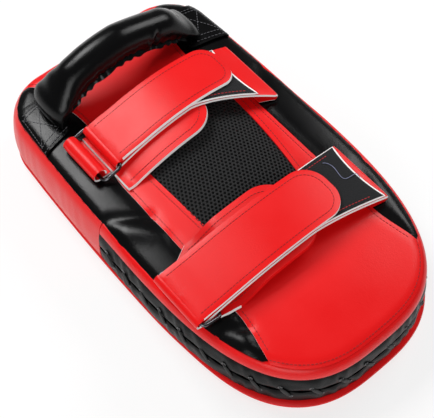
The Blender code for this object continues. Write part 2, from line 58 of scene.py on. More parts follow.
def add_node(tree, kind, inputs=None, **settings):
    """A node with its settings; each input takes a value or the output it is linked from."""
    made = tree.nodes.new(kind)
    for name, value in settings.items():
        setattr(made, name, value)
    for name, value in (inputs or {}).items():
        if isinstance(value, bpy.types.NodeSocket):
            tree.links.new(value, made.inputs[name])
        else:
            made.inputs[name].default_value = value
    return made


def bare_material(name):
    """A new material with only its Principled shader, as (material, tree, shader)."""
    material = bpy.data.materials.new(name)
    material.use_nodes = True
    return material, material.node_tree, material.node_tree.nodes["Principled BSDF"]


def link(name, data):
    """A new object in the scene."""
    made = bpy.data.objects.new(name, data)
    bpy.context.scene.collection.objects.link(made)
    return made


def show(name, points, faces, materials, slots=None):
    """A mesh object at the origin with its place in its points; folds over 40 degrees stay crisp."""
    mesh = bpy.data.meshes.new(name)
    mesh.from_pydata([tuple(map(float, p)) for p in points], [], [tuple(f) for f in faces])
    for material in materials:
        mesh.materials.append(material)
    if slots is not None:
        mesh.polygons.foreach_set("material_index", slots)
    mesh.shade_smooth()
    mesh.set_sharp_from_angle(angle=math.radians(40))
    return link(name, mesh)


# White paper: nearly flat white to the camera and in reflections, so little but the shadow shows on it.
paper, paper_tree, paper_shader = bare_material("white_paper_sweep")
paper_shader.inputs["Base Color"].default_value = linear("#FFFFFF")
paper_shader.inputs["Roughness"].default_value = 0.9
seen = add_node(paper_tree, "ShaderNodeLightPath")
glow = add_node(paper_tree, "ShaderNodeEmission", {"Color": linear("#FFFFFF"), "Strength": 1.0})
PAPER_GLOW, SKY_STRENGTH = 0.72, 0.16
lit = {"Fac": PAPER_GLOW, 1: paper_shader.outputs[0], 2: glow.outputs[0]}
ground = add_node(paper_tree, "ShaderNodeMixShader", lit)
looked_at = seen.outputs["Is Camera Ray"]
for ray in ("Is Glossy Ray", "Is Transmission Ray"):
    both = {0: looked_at, 1: seen.outputs[ray]}
    looked_at = add_node(paper_tree, "ShaderNodeMath", both, operation="MAXIMUM").outputs[0]
shown = {"Fac": looked_at, 1: paper_shader.outputs[0], 2: ground.outputs[0]}
sweep = add_node(paper_tree, "ShaderNodeMixShader", shown)
paper_tree.links.new(sweep.outputs[0], paper_tree.nodes["Material Output"].inputs["Surface"])
FLOOR_REACH = 50
floor_corners = [(x * FLOOR_REACH, y * FLOOR_REACH, 0) for x, y in ((-1, -1), (1, -1), (1, 1), (-1, 1))]
floor = show("floor", floor_corners, [(0, 1, 2, 3)], [paper])

world = bpy.data.worlds.new("studio")
world.use_nodes = True
bpy.context.scene.world = world
sky = world.node_tree.nodes["Background"]
sky.inputs["Color"].default_value = linear("#FFFFFF")
sky.inputs["Strength"].default_value = SKY_STRENGTH
bpy.context.scene.view_settings.view_transform = "Standard"

LIT_POINT = Vector((0, 0, 0.05))
for name, place, size, watts in (
    ("key_softbox", (-0.10, 0.86, 1.18), 0.6, 14.5),
    ("front_fill", (-0.9, -0.9, 0.8), 0.8, 9.0),
    ("right_strip", (0.9, 0.1, 0.8), 0.5, 5.0),
):
    lamp = bpy.data.lights.new(name, "AREA")
    lamp.size = size
    lamp.energy = watts
    lamp_piece = link(name, lamp)
    lamp_piece.location = place
    lamp_piece.rotation_euler = (LIT_POINT - Vector(place)).to_track_quat("-Z", "Y").to_euler()

# Camera fitted to the outline in the photograph.
TURN, TILT, AWAY = math.radians(-40.2), math.radians(59.94), 0.8139
FOCAL_PIXELS, IMAGE_WIDTH, SENSOR = 1010.7, 434, 36
AIM = Vector((-0.0125, -0.0078, 0.03))
back = Vector((math.sin(TURN) * math.cos(TILT), -math.cos(TURN) * math.cos(TILT), math.sin(TILT)))
camera_data = bpy.data.cameras.new("camera")
camera_data.sensor_fit = "HORIZONTAL"
camera_data.sensor_width = SENSOR
camera_data.lens = FOCAL_PIXELS / IMAGE_WIDTH * SENSOR
camera = link("camera", camera_data)
camera.location = AIM + back * AWAY
camera.rotation_euler = (-back).to_track_quat("-Z", "Y").to_euler()
bpy.context.scene.camera = camera


# Foam filling
# Three bonded foam sheets cut to one plan: squared at the handle, rounded at the far end.
# The cover hides them, so they are one crowned block just under the leather.
LENGTH, HALF_WIDTH, HANDLE_HALF_WIDTH, CORNER, ROUND_POWER = 0.352, 0.100, 0.0955, 0.040, 2.95
BACK, CROWN, FLARE, FLARE_Z = 0.0585, 0.004, 0.005, 0.018
QUARTER = math.pi / 2


def arc(x, y, radius, start, end, count):
    """Points on an arc round (x, y), with both its ends."""
    return [(x + radius * math.cos(t), y + radius * math.sin(t)) for t in np.linspace(start, end, count)]


def plan_outline(count=720):
    """Evenly spaced points of the plan, anticlockwise from the middle of the handle end, and its length."""
    corner_y = LENGTH / 2 - CORNER
    left = [(0.0, LENGTH / 2)]
    left += arc(CORNER - HANDLE_HALF_WIDTH, corner_y, CORNER, QUARTER, math.pi, 25)
    for y in np.linspace(corner_y, 0, 20)[1:]:
        left.append((-HALF_WIDTH + (HALF_WIDTH - HANDLE_HALF_WIDTH) * (y / corner_y) ** 2, y))
    for t in np.linspace(0, QUARTER, 60)[1:-1]:
        power = 2 / ROUND_POWER
        left.append((-HALF_WIDTH * math.cos(t) ** power, -LENGTH / 2 * math.sin(t) ** power))
    whole = left + [(0.0, -LENGTH / 2)] + [(-x, y) for x, y in left[:0:-1]]
    ring = np.array(whole + whole[:1])
    run = np.concatenate([[0], np.cumsum(np.linalg.norm(np.diff(ring, axis=0), axis=1))])
    even = np.linspace(0, run[-1], count + 1)
    return np.stack([np.interp(even, run, ring[:, k]) for k in (0, 1)], axis=1)[:-1], run[-1]


plan, girth = plan_outline()
plan_run = np.roll(plan, -4, axis=0) - np.roll(plan, 4, axis=0)
plan_run /= np.linalg.norm(plan_run, axis=1)[:, None]
plan_out = np.stack([plan_run[:, 1], -plan_run[:, 0]], axis=1)


def rim(s, offset=0.0):
    """Point of the plan at arc length s, moved outward."""
    place = (s / girth % 1.0) * len(plan)
    k, share = int(place) % len(plan), place - int(place)
    n = (k + 1) % len(plan)
    point = plan[k] * (1 - share) + plan[n] * share
    return point + (plan_out[k] * (1 - share) + plan_out[n] * share) * offset


def edge_distance(x, y):
    """How far a point of the back lies inside the plan."""
    return float(np.sqrt(((plan - (x, y)) ** 2).sum(axis=1).min()))


def flare(z):
    """How far the soft wall bellies out past the plan at this height."""
    return FLARE * (1 - ((z - FLARE_Z) / (BACK - FLARE_Z)) ** 2)


def loft(name, loops, material, closed=False):
    """A skin through loops of equal count, capped at both ends unless it closes on itself."""
    count = len(loops[0])
    points = [p for loop in loops for p in loop]
    faces = []
    for n in range(len(loops) if closed else len(loops) - 1):
        a, b = n * count, (n + 1) % len(loops) * count
        for k in range(count):
            m = (k + 1) % count
            faces.append((a + k, a + m, b + m, b + k))
    if not closed:
        faces.append(tuple(range(count))[::-1])
        faces.append(tuple(len(points) - count + k for k in range(count)))
    return show(name, points, faces, [material])


MM_TO_THE_METRE = 1000


def grained(name, colours, roughness, texture, grain, relief, depth, detail=2.0, metallic=0.0, sheen=0.0):
    """A material with one texture, its grain in millimetres, for its relief and its colours' mix."""
    material, tree, shader = bare_material(name)
    place = add_node(tree, "ShaderNodeTexCoord").outputs["Object"]
    spread = {"Vector": place, "Scale": MM_TO_THE_METRE / grain}
    if texture == "Noise":
        spread["Detail"] = detail
    pattern = add_node(tree, "ShaderNodeTex" + texture, spread).outputs[0]
    raised = {"Height": pattern, "Strength": relief, "Distance": depth}
    bump = add_node(tree, "ShaderNodeBump", raised)
    tree.links.new(bump.outputs["Normal"], shader.inputs["Normal"])
    shader.inputs["Base Color"].default_value = linear(colours[0])
    if len(colours) == 2:
        ends = {"Factor": pattern, 6: linear(colours[0]), 7: linear(colours[1])}
        tint = add_node(tree, "ShaderNodeMix", ends, data_type="RGBA")
        tree.links.new(tint.outputs[2], shader.inputs["Base Color"])
    shader.inputs["Roughness"].default_value = roughness
    shader.inputs["Metallic"].default_value = metallic
    shader.inputs["Sheen Weight"].default_value = sheen
    return material


# Closed-cell foam: dull mid grey, pitted by cells about a millimetre across.
foam = grained("grey_closed_cell_foam", ["#8E8E90"], 0.95, "Voronoi", 1.11, 0.3, 0.0004)
FOAM_POINTS, FOAM_TOP, FOAM_CROWN = 160, 0.0538, 0.0020
block = []
for inset, z in ((0.016, 0.0030), (0.0085, 0.0048), (0.0070, 0.0080), (0.0070, 0.0500), (0.0085, 0.0535)):
    block.append([(*rim(girth * k / FOAM_POINTS, -inset), z) for k in range(FOAM_POINTS)])
top_edge = block[-1]
for share in (0.8, 0.6, 0.4, 0.2, 0.06):
    block.append([(x * share, y * share, FOAM_TOP + FOAM_CROWN * (1 - share)) for x, y, _ in top_edge])
filling = loft("foam_filling", block, foam)
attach(filling, "pad")
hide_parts("impact_foam", "core_foam", "back_foam")


# Striking cover
# Red polyurethane leather over the whole striking face, turned up round the edge of the foam
# and sewn to the wall. The leather is a knit cloth with a printed fine grain and a satin top coat.
GRAIN_DEPTH, COAT_SPREAD = 0.00025, 0.05
# Pores and mottle of the leathercloth, in millimetres across.
PORE, CLOUD = 0.385, 36


def pu_leather(name, code, roughness, grain, bump, mottle, shine):
    """Coated leathercloth: fine pebble grain in millimetres, faint mottle and an uneven satin coat."""
    material, tree, shader = bare_material(name)
    place = add_node(tree, "ShaderNodeTexCoord").outputs["Object"]
    cell = {"Vector": place, "Scale": MM_TO_THE_METRE / grain}
    pebble = add_node(tree, "ShaderNodeTexVoronoi", cell, feature="SMOOTH_F1")
    fine = {"Vector": place, "Scale": MM_TO_THE_METRE / PORE, "Detail": 2.0}
    pores = add_node(tree, "ShaderNodeTexNoise", fine)
    both = {0: pebble.outputs["Distance"], 1: pores.outputs["Fac"]}
    height = add_node(tree, "ShaderNodeMath", both, operation="ADD").outputs[0]
    raised = {"Height": height, "Strength": bump, "Distance": GRAIN_DEPTH}
    relief = add_node(tree, "ShaderNodeBump", raised)
    clouded = {"Vector": place, "Scale": MM_TO_THE_METRE / CLOUD, "Detail": 4.0}
    cloud = add_node(tree, "ShaderNodeTexNoise", clouded).outputs["Fac"]
    dark = tuple(c * (1 - mottle) for c in linear(code)[:3]) + (1.0,)
    tint = add_node(tree, "ShaderNodeMix", {"Factor": cloud, 6: dark, 7: linear(code)}, data_type="RGBA")
    wear = {"Value": cloud, "From Min": 0.3, "From Max": 0.7}
    wear.update({"To Min": roughness - COAT_SPREAD, "To Max": roughness + COAT_SPREAD})
    coat = add_node(tree, "ShaderNodeMapRange", wear)
    tree.links.new(tint.outputs[2], shader.inputs["Base Color"])
    tree.links.new(coat.outputs["Result"], shader.inputs["Roughness"])
    tree.links.new(relief.outputs["Normal"], shader.inputs["Normal"])
    shader.inputs["IOR"].default_value = 1.46
    shader.inputs["Specular IOR Level"].default_value = shine
    return material


def clamp(value):
    """The value held between 0 and 1."""
    return min(1.0, max(0.0, value))


def smooth(share):
    """A share from 0 to 1 that starts and stops gently."""
    return share * share * (3 - 2 * share)


# Red coated leathercloth: bright red with a soft broad highlight and a grain that shows only close to.
red_leather = pu_leather("red_pu_leather", "#EC1416", 0.33, 1.1, 0.22, 0.08, 0.30)
COVER_POINTS, COVER_REACH, BULGE, BULGE_Y, BULGE_RUN = 300, 0.0059, 0.0036, -0.070, 0.080
COVER_DEPTH, COVER_INNER = 0.0026, 0.985
face = []
for offset, z in (
    (-0.030, 0.0),
    (-0.012, 0.0),
    (-0.0060, 0.0003),
    (-0.0010, 0.0006),
    (0.0022, 0.0014),
    (0.0043, 0.0028),
    (0.0055, 0.0046),
    (0.0059, 0.0060),
    (0.0056, 0.0074),
    (0.0044, 0.0085),
    (0.0028, 0.0090),
    (0.0006, 0.0087),
):
    loop = []
    for k in range(COVER_POINTS):
        s = girth * k / COVER_POINTS
        far = smooth(clamp((BULGE_Y - rim(s)[1]) / BULGE_RUN))
        loop.append((*rim(s, offset + BULGE * far * max(0.0, offset) / COVER_REACH), z))
    face.append(loop)
inner = [[(x * COVER_INNER, y * COVER_INNER, COVER_DEPTH) for x, y, _ in face[2]]]
cover = loft("striking_cover_skin", face + inner, red_leather)
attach(cover, "pad")
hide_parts("striking_cover")


# Wall
# Red leather round the handle end and, past a seam on each side, a red strip under the top edge.
# Sewn inside out and turned, so each panel pillows a little between its seams.
def shell_faces(count, rows, edge_slot=0):
    """Faces and material slots of a thin sheet of count by rows cells; its long edges take edge_slot."""
    wide = rows + 1
    total = (count + 1) * wide
    faces, slots = [], []
    for k in range(count):
        for n in range(rows):
            a, b = k * wide + n, (k + 1) * wide + n
            faces += [(a, b, b + 1, a + 1), (total + a + 1, total + b + 1, total + b, total + a)]
            slots += [0, 0]
        for n in (0, rows):
            a, b = k * wide + n, (k + 1) * wide + n
            faces.append((b, a, total + a, total + b) if n == 0 else (a, b, total + b, total + a))
            slots.append(edge_slot)
    for k in (0, count):
        for n in range(rows):
            a = k * wide + n
            end = (a, a + 1, total + a + 1, total + a)
            faces.append(end if k == 0 else (end[1], end[0], end[3], end[2]))
            slots.append(0)
    return faces, slots


SEAM_Y, SEAM_GAP, COVER_RIM, RIM_LOW, WALL_TOP = 0.028, 0.0004, 0.0082, 0.0458, 0.0567
WALL_DEPTH, LEAN, LEAN_FROM, LEAN_RISE = 0.0016, 0.0018, 0.0500, 0.0065


def wall_sheet(name, run, low, high, puff, material, step=0.0030, rows=9, wrinkle=0.0):
    """A sewn wall panel over a run of arc length; low and high give its edges' heights along it."""
    start, end = run
    count = max(8, int((end - start) / step))
    outer, inside = [], []
    for k in range(count + 1):
        s = start + (end - start) * k / count
        bottom, top = low(s), high(s)
        for n in range(rows + 1):
            share = n / rows
            z = bottom + (top - bottom) * share
            swell = puff * (1 - (2 * share - 1) ** 4) * min(1.0, 14 * min(k, count - k) / count)
            lean = LEAN * max(0.0, (z - LEAN_FROM) / LEAN_RISE) ** 2
            ripple = wrinkle * math.sin(s * 410 + 3 * math.sin(s * 97) + z * 60) * math.sin(math.pi * share)
            reach = flare(z) + swell - lean + ripple
            outer.append((*rim(s, reach), z))
            inside.append((*rim(s, reach - WALL_DEPTH), z))
    return show(name, outer + inside, shell_faces(count, rows)[0], [material])


def arc_at(y, side):
    """Arc length of the plan's point at this y on the left (-1) or right (1)."""
    gap = np.where(np.sign(plan[:, 0]) == side, np.abs(plan[:, 1] - y), 9.0)
    return girth * int(np.argmin(gap)) / len(plan)


seam_left, seam_right = arc_at(SEAM_Y, -1), arc_at(SEAM_Y, 1)
handle_run = (seam_right + SEAM_GAP, seam_left + girth - SEAM_GAP)
round_run = (seam_left + SEAM_GAP, seam_right - SEAM_GAP)
gusset = wall_sheet(
    "handle_end_wall", handle_run, lambda s: COVER_RIM, lambda s: WALL_TOP, 0.0010, red_leather,
    rows=14, wrinkle=0.0002,
)
rim_strip = wall_sheet(
    "rim_strip_skin", round_run, lambda s: RIM_LOW, lambda s: WALL_TOP, 0.0013, red_leather, rows=10,
)
for piece, node in ((gusset, "handle_end_gusset"), (rim_strip, "rim_strip")):
    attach(piece, "pad")
    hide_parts(node)


# Laced band
# Two black leather flaps close the cover round the round end. One flat black lace goes in and out
# of punched holes in both, so the edges draw together at each crossing and gape between.
# The back's black leathercloth is glossy, with sharp highlights; the band's is duller and grainier.
black_leather = pu_leather("black_pu_leather", "#060607", 0.23, 1.2, 0.22, 0.25, 0.24)
band_leather = pu_leather("black_band_leather", "#050506", 0.38, 1.2, 0.30, 0.25, 0.10)
PITCH, SLANT, SPLIT, HOLE_OFF, END_CLEAR = 0.0215, 0.0040, 0.0272, 0.0062, 0.0206
SHUT, OPEN = 0.0004, 0.0019
crossings = int((seam_right - seam_left - END_CLEAR) / PITCH) + 1
first = (seam_left + seam_right - (crossings - 1) * PITCH) / 2


def gape(s):
    """Half the gap between the flaps: almost shut at a crossing, open between two."""
    return SHUT + OPEN * (0.5 - 0.5 * math.cos(2 * math.pi * (s - first) / PITCH))


upper_flap = wall_sheet(
    "upper_lace_flap_skin", round_run, lambda s: SPLIT + gape(s), lambda s: RIM_LOW - 0.0002, 0.0008,
    band_leather, step=0.0022, wrinkle=0.0006,
)
lower_flap = wall_sheet(
    "lower_lace_flap_skin", round_run, lambda s: COVER_RIM + 0.0006, lambda s: SPLIT - gape(s), 0.0010,
    band_leather, step=0.0022, wrinkle=0.0006,
)
for piece, node in ((upper_flap, "upper_lace_flap"), (lower_flap, "lower_lace_flap")):
    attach(piece, "pad")
    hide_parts(node)


# Polyester braid: matt black, broken up by its small strands.
lace_cord = grained("black_polyester_braid", ["#0C0C0D"], 0.6, "Voronoi", 0.714, 0.6, 0.0004)


def on_wall(s, z, lift):
    """Point on the laced band, lifted off its face."""
    return (*rim(s, flare(z) + lift), z)


# How far the cord stands off the flaps: behind them, in its hole, at the hole's lip and between holes.
LACE_BEHIND, LACE_IN, LACE_LIP, LACE_PROUD = -0.0042, -0.0012, 0.0008, 0.0013
LACE_PINCHED, LACE_HALF, LACE_SPREAD, LACE_THICK = 0.0009, 0.0011, 0.0009, 0.0008
LACE_SIDES, DIVE_SHARE = 10, 0.1
oval = [2 * math.pi * m / LACE_SIDES for m in range(LACE_SIDES)]
# each point of the course: its share of the way across, its lift and the cord's half width there
dive = [(0.0, LACE_BEHIND, LACE_PINCHED), (0.0, LACE_IN, LACE_PINCHED), (0.04, LACE_LIP, LACE_HALF)]
course = list(dive)
for t in np.linspace(0.12, 0.88, 9):
    course.append((t, LACE_PROUD, LACE_HALF + LACE_SPREAD * math.sin(math.pi * t)))
course += [(1 - t, lift, half) for t, lift, half in dive[::-1]]
lace_loops = []
for k in range(crossings):
    middle = first + k * PITCH
    top, bottom = (middle - SLANT, SPLIT + HOLE_OFF), (middle + SLANT, SPLIT - HOLE_OFF)
    across = Vector(on_wall(*top, 0)) - Vector(on_wall(*bottom, 0))
    out = Vector((*rim(middle, 1.0), 0)) - Vector((*rim(middle, 0.0), 0))
    side = across.cross(out).normalized()
    for t, lift, half in course:
        s, z = top[0] + (bottom[0] - top[0]) * t, top[1] + (bottom[1] - top[1]) * t
        place = Vector(on_wall(s, z, lift))
        if DIVE_SHARE < t < 1 - DIVE_SHARE:
            lean = out
        else:
            lean = across.normalized() * (1 if t < DIVE_SHARE else -1)
        spokes = [(half * math.cos(a), LACE_THICK * math.sin(a)) for a in oval]
        lace_loops.append([place + side * wide + lean * thick for wide, thick in spokes])
lace = loft("lace_cord", lace_loops, lace_cord)
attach(lace, "pad")
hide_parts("lace")


# Lace eyelets
# Each hole is reinforced by a small pressed steel ring in half-metallic grey; the grey is partly painted
# glint, so each hole shows as a small bright dot.
# A node tree sets one ring on each hole; the mesh of the forearm bed is made by the same tree.
# Half-metallic grey steel, the same all over: its grey is partly painted glint, lighter than the ring's own
# colour.
eyelet_steel = grained("grey_eyelet_steel_painted_glint", ["#6A6A6C"], 0.28, "Noise", 1.11, 0.1, 0.0002, metallic=0.6)


def start_tree(name, values):
    """A node tree that takes a guide, named values and a material, and what its input node gives."""
    tree = bpy.data.node_groups.new(name, "GeometryNodeTree")
    for label, kind in (("Geometry", "Geometry"), *values, ("Material", "Material")):
        tree.interface.new_socket(label, in_out="INPUT", socket_type="NodeSocket" + kind)
    tree.interface.new_socket("Geometry", in_out="OUTPUT", socket_type="NodeSocketGeometry")
    return tree, add_node(tree, "NodeGroupInput").outputs


def set_on_points(tree, given, points, instance, direction, axis, more=None):
    """Ends a tree: the instance on each point, its axis turned along the direction, as one mesh."""
    turned = add_node(tree, "FunctionNodeAlignRotationToVector", {"Vector": direction}, axis=axis)
    placing = {"Points": points, "Instance": instance, "Rotation": turned.outputs["Rotation"], **(more or {})}
    placed = add_node(tree, "GeometryNodeInstanceOnPoints", placing)
    realised = add_node(tree, "GeometryNodeRealizeInstances", {"Geometry": placed.outputs["Instances"]})
    dressing = {"Geometry": realised.outputs["Geometry"], "Material": given["Material"]}
    dressed = add_node(tree, "GeometryNodeSetMaterial", dressing)
    add_node(tree, "NodeGroupOutput", {"Geometry": dressed.outputs["Geometry"]})


ring_values = (("Ring radius", "Float"), ("Wire radius", "Float"), ("Sides", "Int"))
ring_tree, given = start_tree("rings_on_points", ring_values)
CIRCLE = "GeometryNodeCurvePrimitiveCircle"
hoop = add_node(ring_tree, CIRCLE, {"Resolution": given["Sides"], "Radius": given["Ring radius"]})
section = add_node(ring_tree, CIRCLE, {"Resolution": 6, "Radius": given["Wire radius"]})
bent = {"Curve": hoop.outputs["Curve"], "Profile Curve": section.outputs["Curve"]}
one_ring = add_node(ring_tree, "GeometryNodeCurveToMesh", bent).outputs["Mesh"]
facing = add_node(ring_tree, "GeometryNodeInputNamedAttribute", {"Name": "facing"}, data_type="FLOAT_VECTOR")
set_on_points(ring_tree, given, given["Geometry"], one_ring, facing.outputs["Attribute"], "Z")


def grow(name, points, edges, tree, settings, facings=None):
    """What a node tree makes on a guide of points and edges, as one plain mesh."""
    guide_mesh = bpy.data.meshes.new(name + "_guide")
    guide_mesh.from_pydata([tuple(map(float, p)) for p in points], edges, [])
    if facings is not None:
        held = guide_mesh.attributes.new("facing", "FLOAT_VECTOR", "POINT")
        held.data.foreach_set("vector", [float(part) for direction in facings for part in direction])
    guide = link(name + "_guide", guide_mesh)
    maker = guide.modifiers.new("maker", "NODES")
    maker.node_group = tree
    for socket in tree.interface.items_tree:
        if socket.name in settings:
            maker[socket.identifier] = settings[socket.name]
    bpy.context.view_layer.update()
    mesh = bpy.data.meshes.new_from_object(guide.evaluated_get(bpy.context.evaluated_depsgraph_get()))
    bpy.data.objects.remove(guide)
    mesh.name = name
    mesh.shade_smooth()
    return link(name, mesh)


def rings(name, places, facings, radius, wire, sides, material):
    """One wire ring at each place, lying across its facing direction."""
    settings = {"Ring radius": radius, "Wire radius": wire, "Sides": sides, "Material": material}
    return grow(name, places, [], ring_tree, settings, facings)


EYELET_RADIUS, EYELET_WIRE, EYELET_SIDES, EYELET_LIFT = 0.0015, 0.0004, 12, 0.0008
hole_places, hole_facings = [], []
for k in range(crossings):
    for turn_side in (-1, 1):
        s, z = first + k * PITCH + turn_side * SLANT, SPLIT - turn_side * HOLE_OFF
        hole_places.append(on_wall(s, z, EYELET_LIFT))
        hole_facings.append((*(rim(s, 1.0) - rim(s, 0.0)), 0.0))
eyelets = rings(
    "lace_eyelets", hole_places, hole_facings, EYELET_RADIUS, EYELET_WIRE, EYELET_SIDES, eyelet_steel,
)
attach(eyelets, "pad")


# Back panels
# Black leather down both sides and red leather down the middle, cut flat, sewn edge over edge
# and drawn over the foam; the red panel's cut edge shows its white cloth backing.
PANEL_EDGE = (
    (-0.150, 0.0765),
    (-0.098, 0.069),
    (-0.020, 0.067),
    (0.040, 0.067),
    (0.110, 0.0535),
    (0.158, 0.0595),
    (0.180, 0.072),
)


def panel_edge(y):
    """Half the red panel's width at this y."""
    for (y0, x0), (y1, x1) in zip(PANEL_EDGE, PANEL_EDGE[1:]):
        if y <= y1:
            share = smooth(clamp((y - y0) / (y1 - y0)))
            return x0 * (1 - share) + x1 * share
    return PANEL_EDGE[-1][1]


# Folds pressed in (or raised) between two points, with their depth and width.
FOLDS = (
    ((-0.093, 0.026), (-0.066, 0.006), 0.0016, 0.0045),
    ((-0.090, 0.008), (-0.070, -0.012), -0.0012, 0.0070),
    ((-0.088, -0.100), (-0.070, -0.112), 0.0012, 0.0040),
    ((-0.086, -0.122), (-0.073, -0.116), -0.0010, 0.0050),
    ((0.094, 0.060), (0.070, 0.030), 0.0008, 0.0070),
    ((0.092, -0.060), (0.074, -0.092), 0.0010, 0.0060),
)
EDGE_ROLL, ROLL_DROP, SEAM_DIP, SEAM_WIDTH = 0.009, 0.0032, 0.0009, 0.0045
SIDE_PUFF, END_PUFF, END_Y, END_WIDE, END_LONG = 0.0010, 0.0022, -0.132, 0.060, 0.030


def plain_back(x, y):
    """Height of the crowned back without its seams and creases."""
    return BACK + CROWN * max(0.0, 1 - (x / HALF_WIDTH) ** 2) * max(0.0, 1 - (2 * y / LENGTH) ** 2)


def back_height(x, y):
    """Height of the sewn back: rolled down at the edge, dipped along the seams, softly creased."""
    z = plain_back(x, y)
    near = edge_distance(x, y)
    if near < EDGE_ROLL:
        z -= ROLL_DROP * (1 - near / EDGE_ROLL) ** 2
    past = abs(x) - panel_edge(y)
    z -= SEAM_DIP * math.exp(-((past / SEAM_WIDTH) ** 2))
    if past > 0:
        z += SIDE_PUFF * math.sin(math.pi * min(1.0, past / max(0.006, past + near)))
    z += END_PUFF * math.exp(-((x / END_WIDE) ** 2) - (((y - END_Y) / END_LONG) ** 2))
    for (x0, y0), (x1, y1), depth, width in FOLDS:
        run = ((x - x0) * (x1 - x0) + (y - y0) * (y1 - y0)) / ((x1 - x0) ** 2 + (y1 - y0) ** 2)
        beyond = max(0.0, run - 1, -run) * math.dist((x0, y0), (x1, y1))
        held = clamp(run)
        off = math.dist((x, y), (x0 + (x1 - x0) * held, y0 + (y1 - y0) * held))
        z -= depth * math.exp(-((off / width) ** 2) - (beyond / width) ** 2)
    return z


def inside_loops(loops, x, y):
    """Whether a flat point is inside the first loop and outside the others."""
    found = False
    for loop in loops:
        for (x0, y0), (x1, y1) in zip(loop, loop[1:] + loop[:1]):
            if (y0 > y) != (y1 > y) and x < x0 + (x1 - x0) * (y - y0) / (y1 - y0):
                found = not found
    return found


def between(p, q, parts):
    """Points from p toward q in equal parts, without q itself."""
    return [(p[0] + (q[0] - p[0]) * n / parts, p[1] + (q[1] - p[1]) * n / parts) for n in range(parts)]


def dense(loop, step):
    """The loop with points no further apart than step."""
    made = []
    for p, q in zip(loop, loop[1:] + loop[:1]):
        made += between(p, q, max(1, math.ceil(math.dist(p, q) / step)))
    return made


def cut_sheet(name, loops, spacing, height, depth, materials, pillow=0.0, pillow_width=0.004, ledge=None):
    """Leather cut to a flat shape and laid at a height over x and y; its cut edges take the last material.

    ledge tells, from the outward direction, how far the cloth backing stands out past the cut.
    """
    loops = [dense(loop, spacing) for loop in loops]
    flat = [Vector(p) for loop in loops for p in loop]
    edges, start = [], 0
    for loop in loops:
        edges += [(start + k, start + (k + 1) % len(loop)) for k in range(len(loop))]
        start += len(loop)
    border = np.array([tuple(p) for p in flat])
    low, high = border.min(axis=0), border.max(axis=0)
    for n, y in enumerate(np.arange(low[1] + spacing / 2, high[1], spacing * 0.87)):
        for x in np.arange(low[0] + spacing * (0.5 + 0.5 * (n % 2)), high[0], spacing):
            if ((border - (x, y)) ** 2).sum(axis=1).min() > (0.6 * spacing) ** 2:
                flat.append(Vector((float(x), float(y))))
    made, _, triangles, _, _, _ = delaunay_2d_cdt(flat, edges, [], 0, 1e-7)
    kept = []
    for t in triangles:
        middle = sum((made[k] for k in t), Vector((0, 0))) / 3
        if inside_loops(loops, middle.x, middle.y):
            kept.append(t)
    used = sorted({k for t in kept for k in t})
    index = {k: n for n, k in enumerate(used)}
    upper, lower = [], []
    for k in used:
        x, y = made[k]
        z = height(x, y)
        if pillow:
            edge = math.sqrt(((border - (x, y)) ** 2).sum(axis=1).min())
            z += pillow * (1 - math.exp(-edge / pillow_width))
        upper.append((x, y, z))
        lower.append((x, y, z - depth))
    total = len(used)
    faces, slots, open_edges = [], [], {}
    for t in kept:
        a = [index[k] for k in t]
        p, q, r = (made[k] for k in t)
        if (q - p).x * (r - p).y - (q - p).y * (r - p).x < 0:
            a.reverse()
        faces += [tuple(a), tuple(k + total for k in reversed(a))]
        slots += [0, 0]
        for k in range(3):
            edge = (a[k], a[(k + 1) % 3])
            if edge[::-1] in open_edges:
                del open_edges[edge[::-1]]
            else:
                open_edges[edge] = True
    outward = {}
    for i, j in open_edges:
        faces.append((j, i, i + total, j + total))
        slots.append(len(materials) - 1)
        along = Vector(upper[j][:2]) - Vector(upper[i][:2])
        for k in (i, j):
            outward[k] = outward.get(k, Vector((0, 0))) + Vector((along.y, -along.x)).normalized()
    for k, out in outward.items():
        if ledge:
            out = out.normalized() * ledge(*out.normalized())
            lower[k] = (lower[k][0] + out.x, lower[k][1] + out.y, lower[k][2])
    return show(name, upper + lower, faces, materials, slots)


# White knit backing: off-white and fibrous, the pale line along every raw cut edge.
raw_edge = grained(
    "white_knit_backing", ["#F4F0EE", "#FFFFFF"], 0.9, "Noise", 0.667, 0.4, 0.0003, detail=3.0,
)
PANEL_GRID, PANEL_DEPTH, BORDER_POINTS, TURNED_IN = 0.0032, 0.0014, 320, 0.0012
LAPPED_UNDER, LAP_LIFT = 0.0015, 0.0008
border_loop = [tuple(rim(girth * k / BORDER_POINTS, -TURNED_IN)) for k in range(BORDER_POINTS)]
beside = [p[1] for p in border_loop if p[0] > panel_edge(p[1]) + 0.001]
tip_y, head_y = min(beside), max(beside)
edge_run = list(np.linspace(head_y, tip_y, 90))
for name, node, side in (
    ("left_back_panel", "left_side_panel", -1),
    ("right_back_panel", "right_side_panel", 1),
):
    outer = [p for p in border_loop if p[0] * side > panel_edge(p[1]) + 0.0008 and tip_y < p[1] < head_y]
    if side == 1:
        outer.reverse()
    inner_edge = [(side * (panel_edge(y) - LAPPED_UNDER), y) for y in edge_run]
    panel_loop = outer + inner_edge[::-1]
    panel = cut_sheet(name, [panel_loop], PANEL_GRID, back_height, PANEL_DEPTH, [black_leather])
    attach(panel, "pad")
    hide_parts(node)

WINDOW_TOP, WINDOW_BOTTOM, WINDOW_WIDE, WINDOW_NARROW, WINDOW_CORNER = 0.070, -0.050, 0.0480, 0.0440, 0.016
WINDOW_BOW, BOW_Y, BOW_REACH, WINDOW_SHIFT = 0.0065, 0.034, 0.082, 0.0030


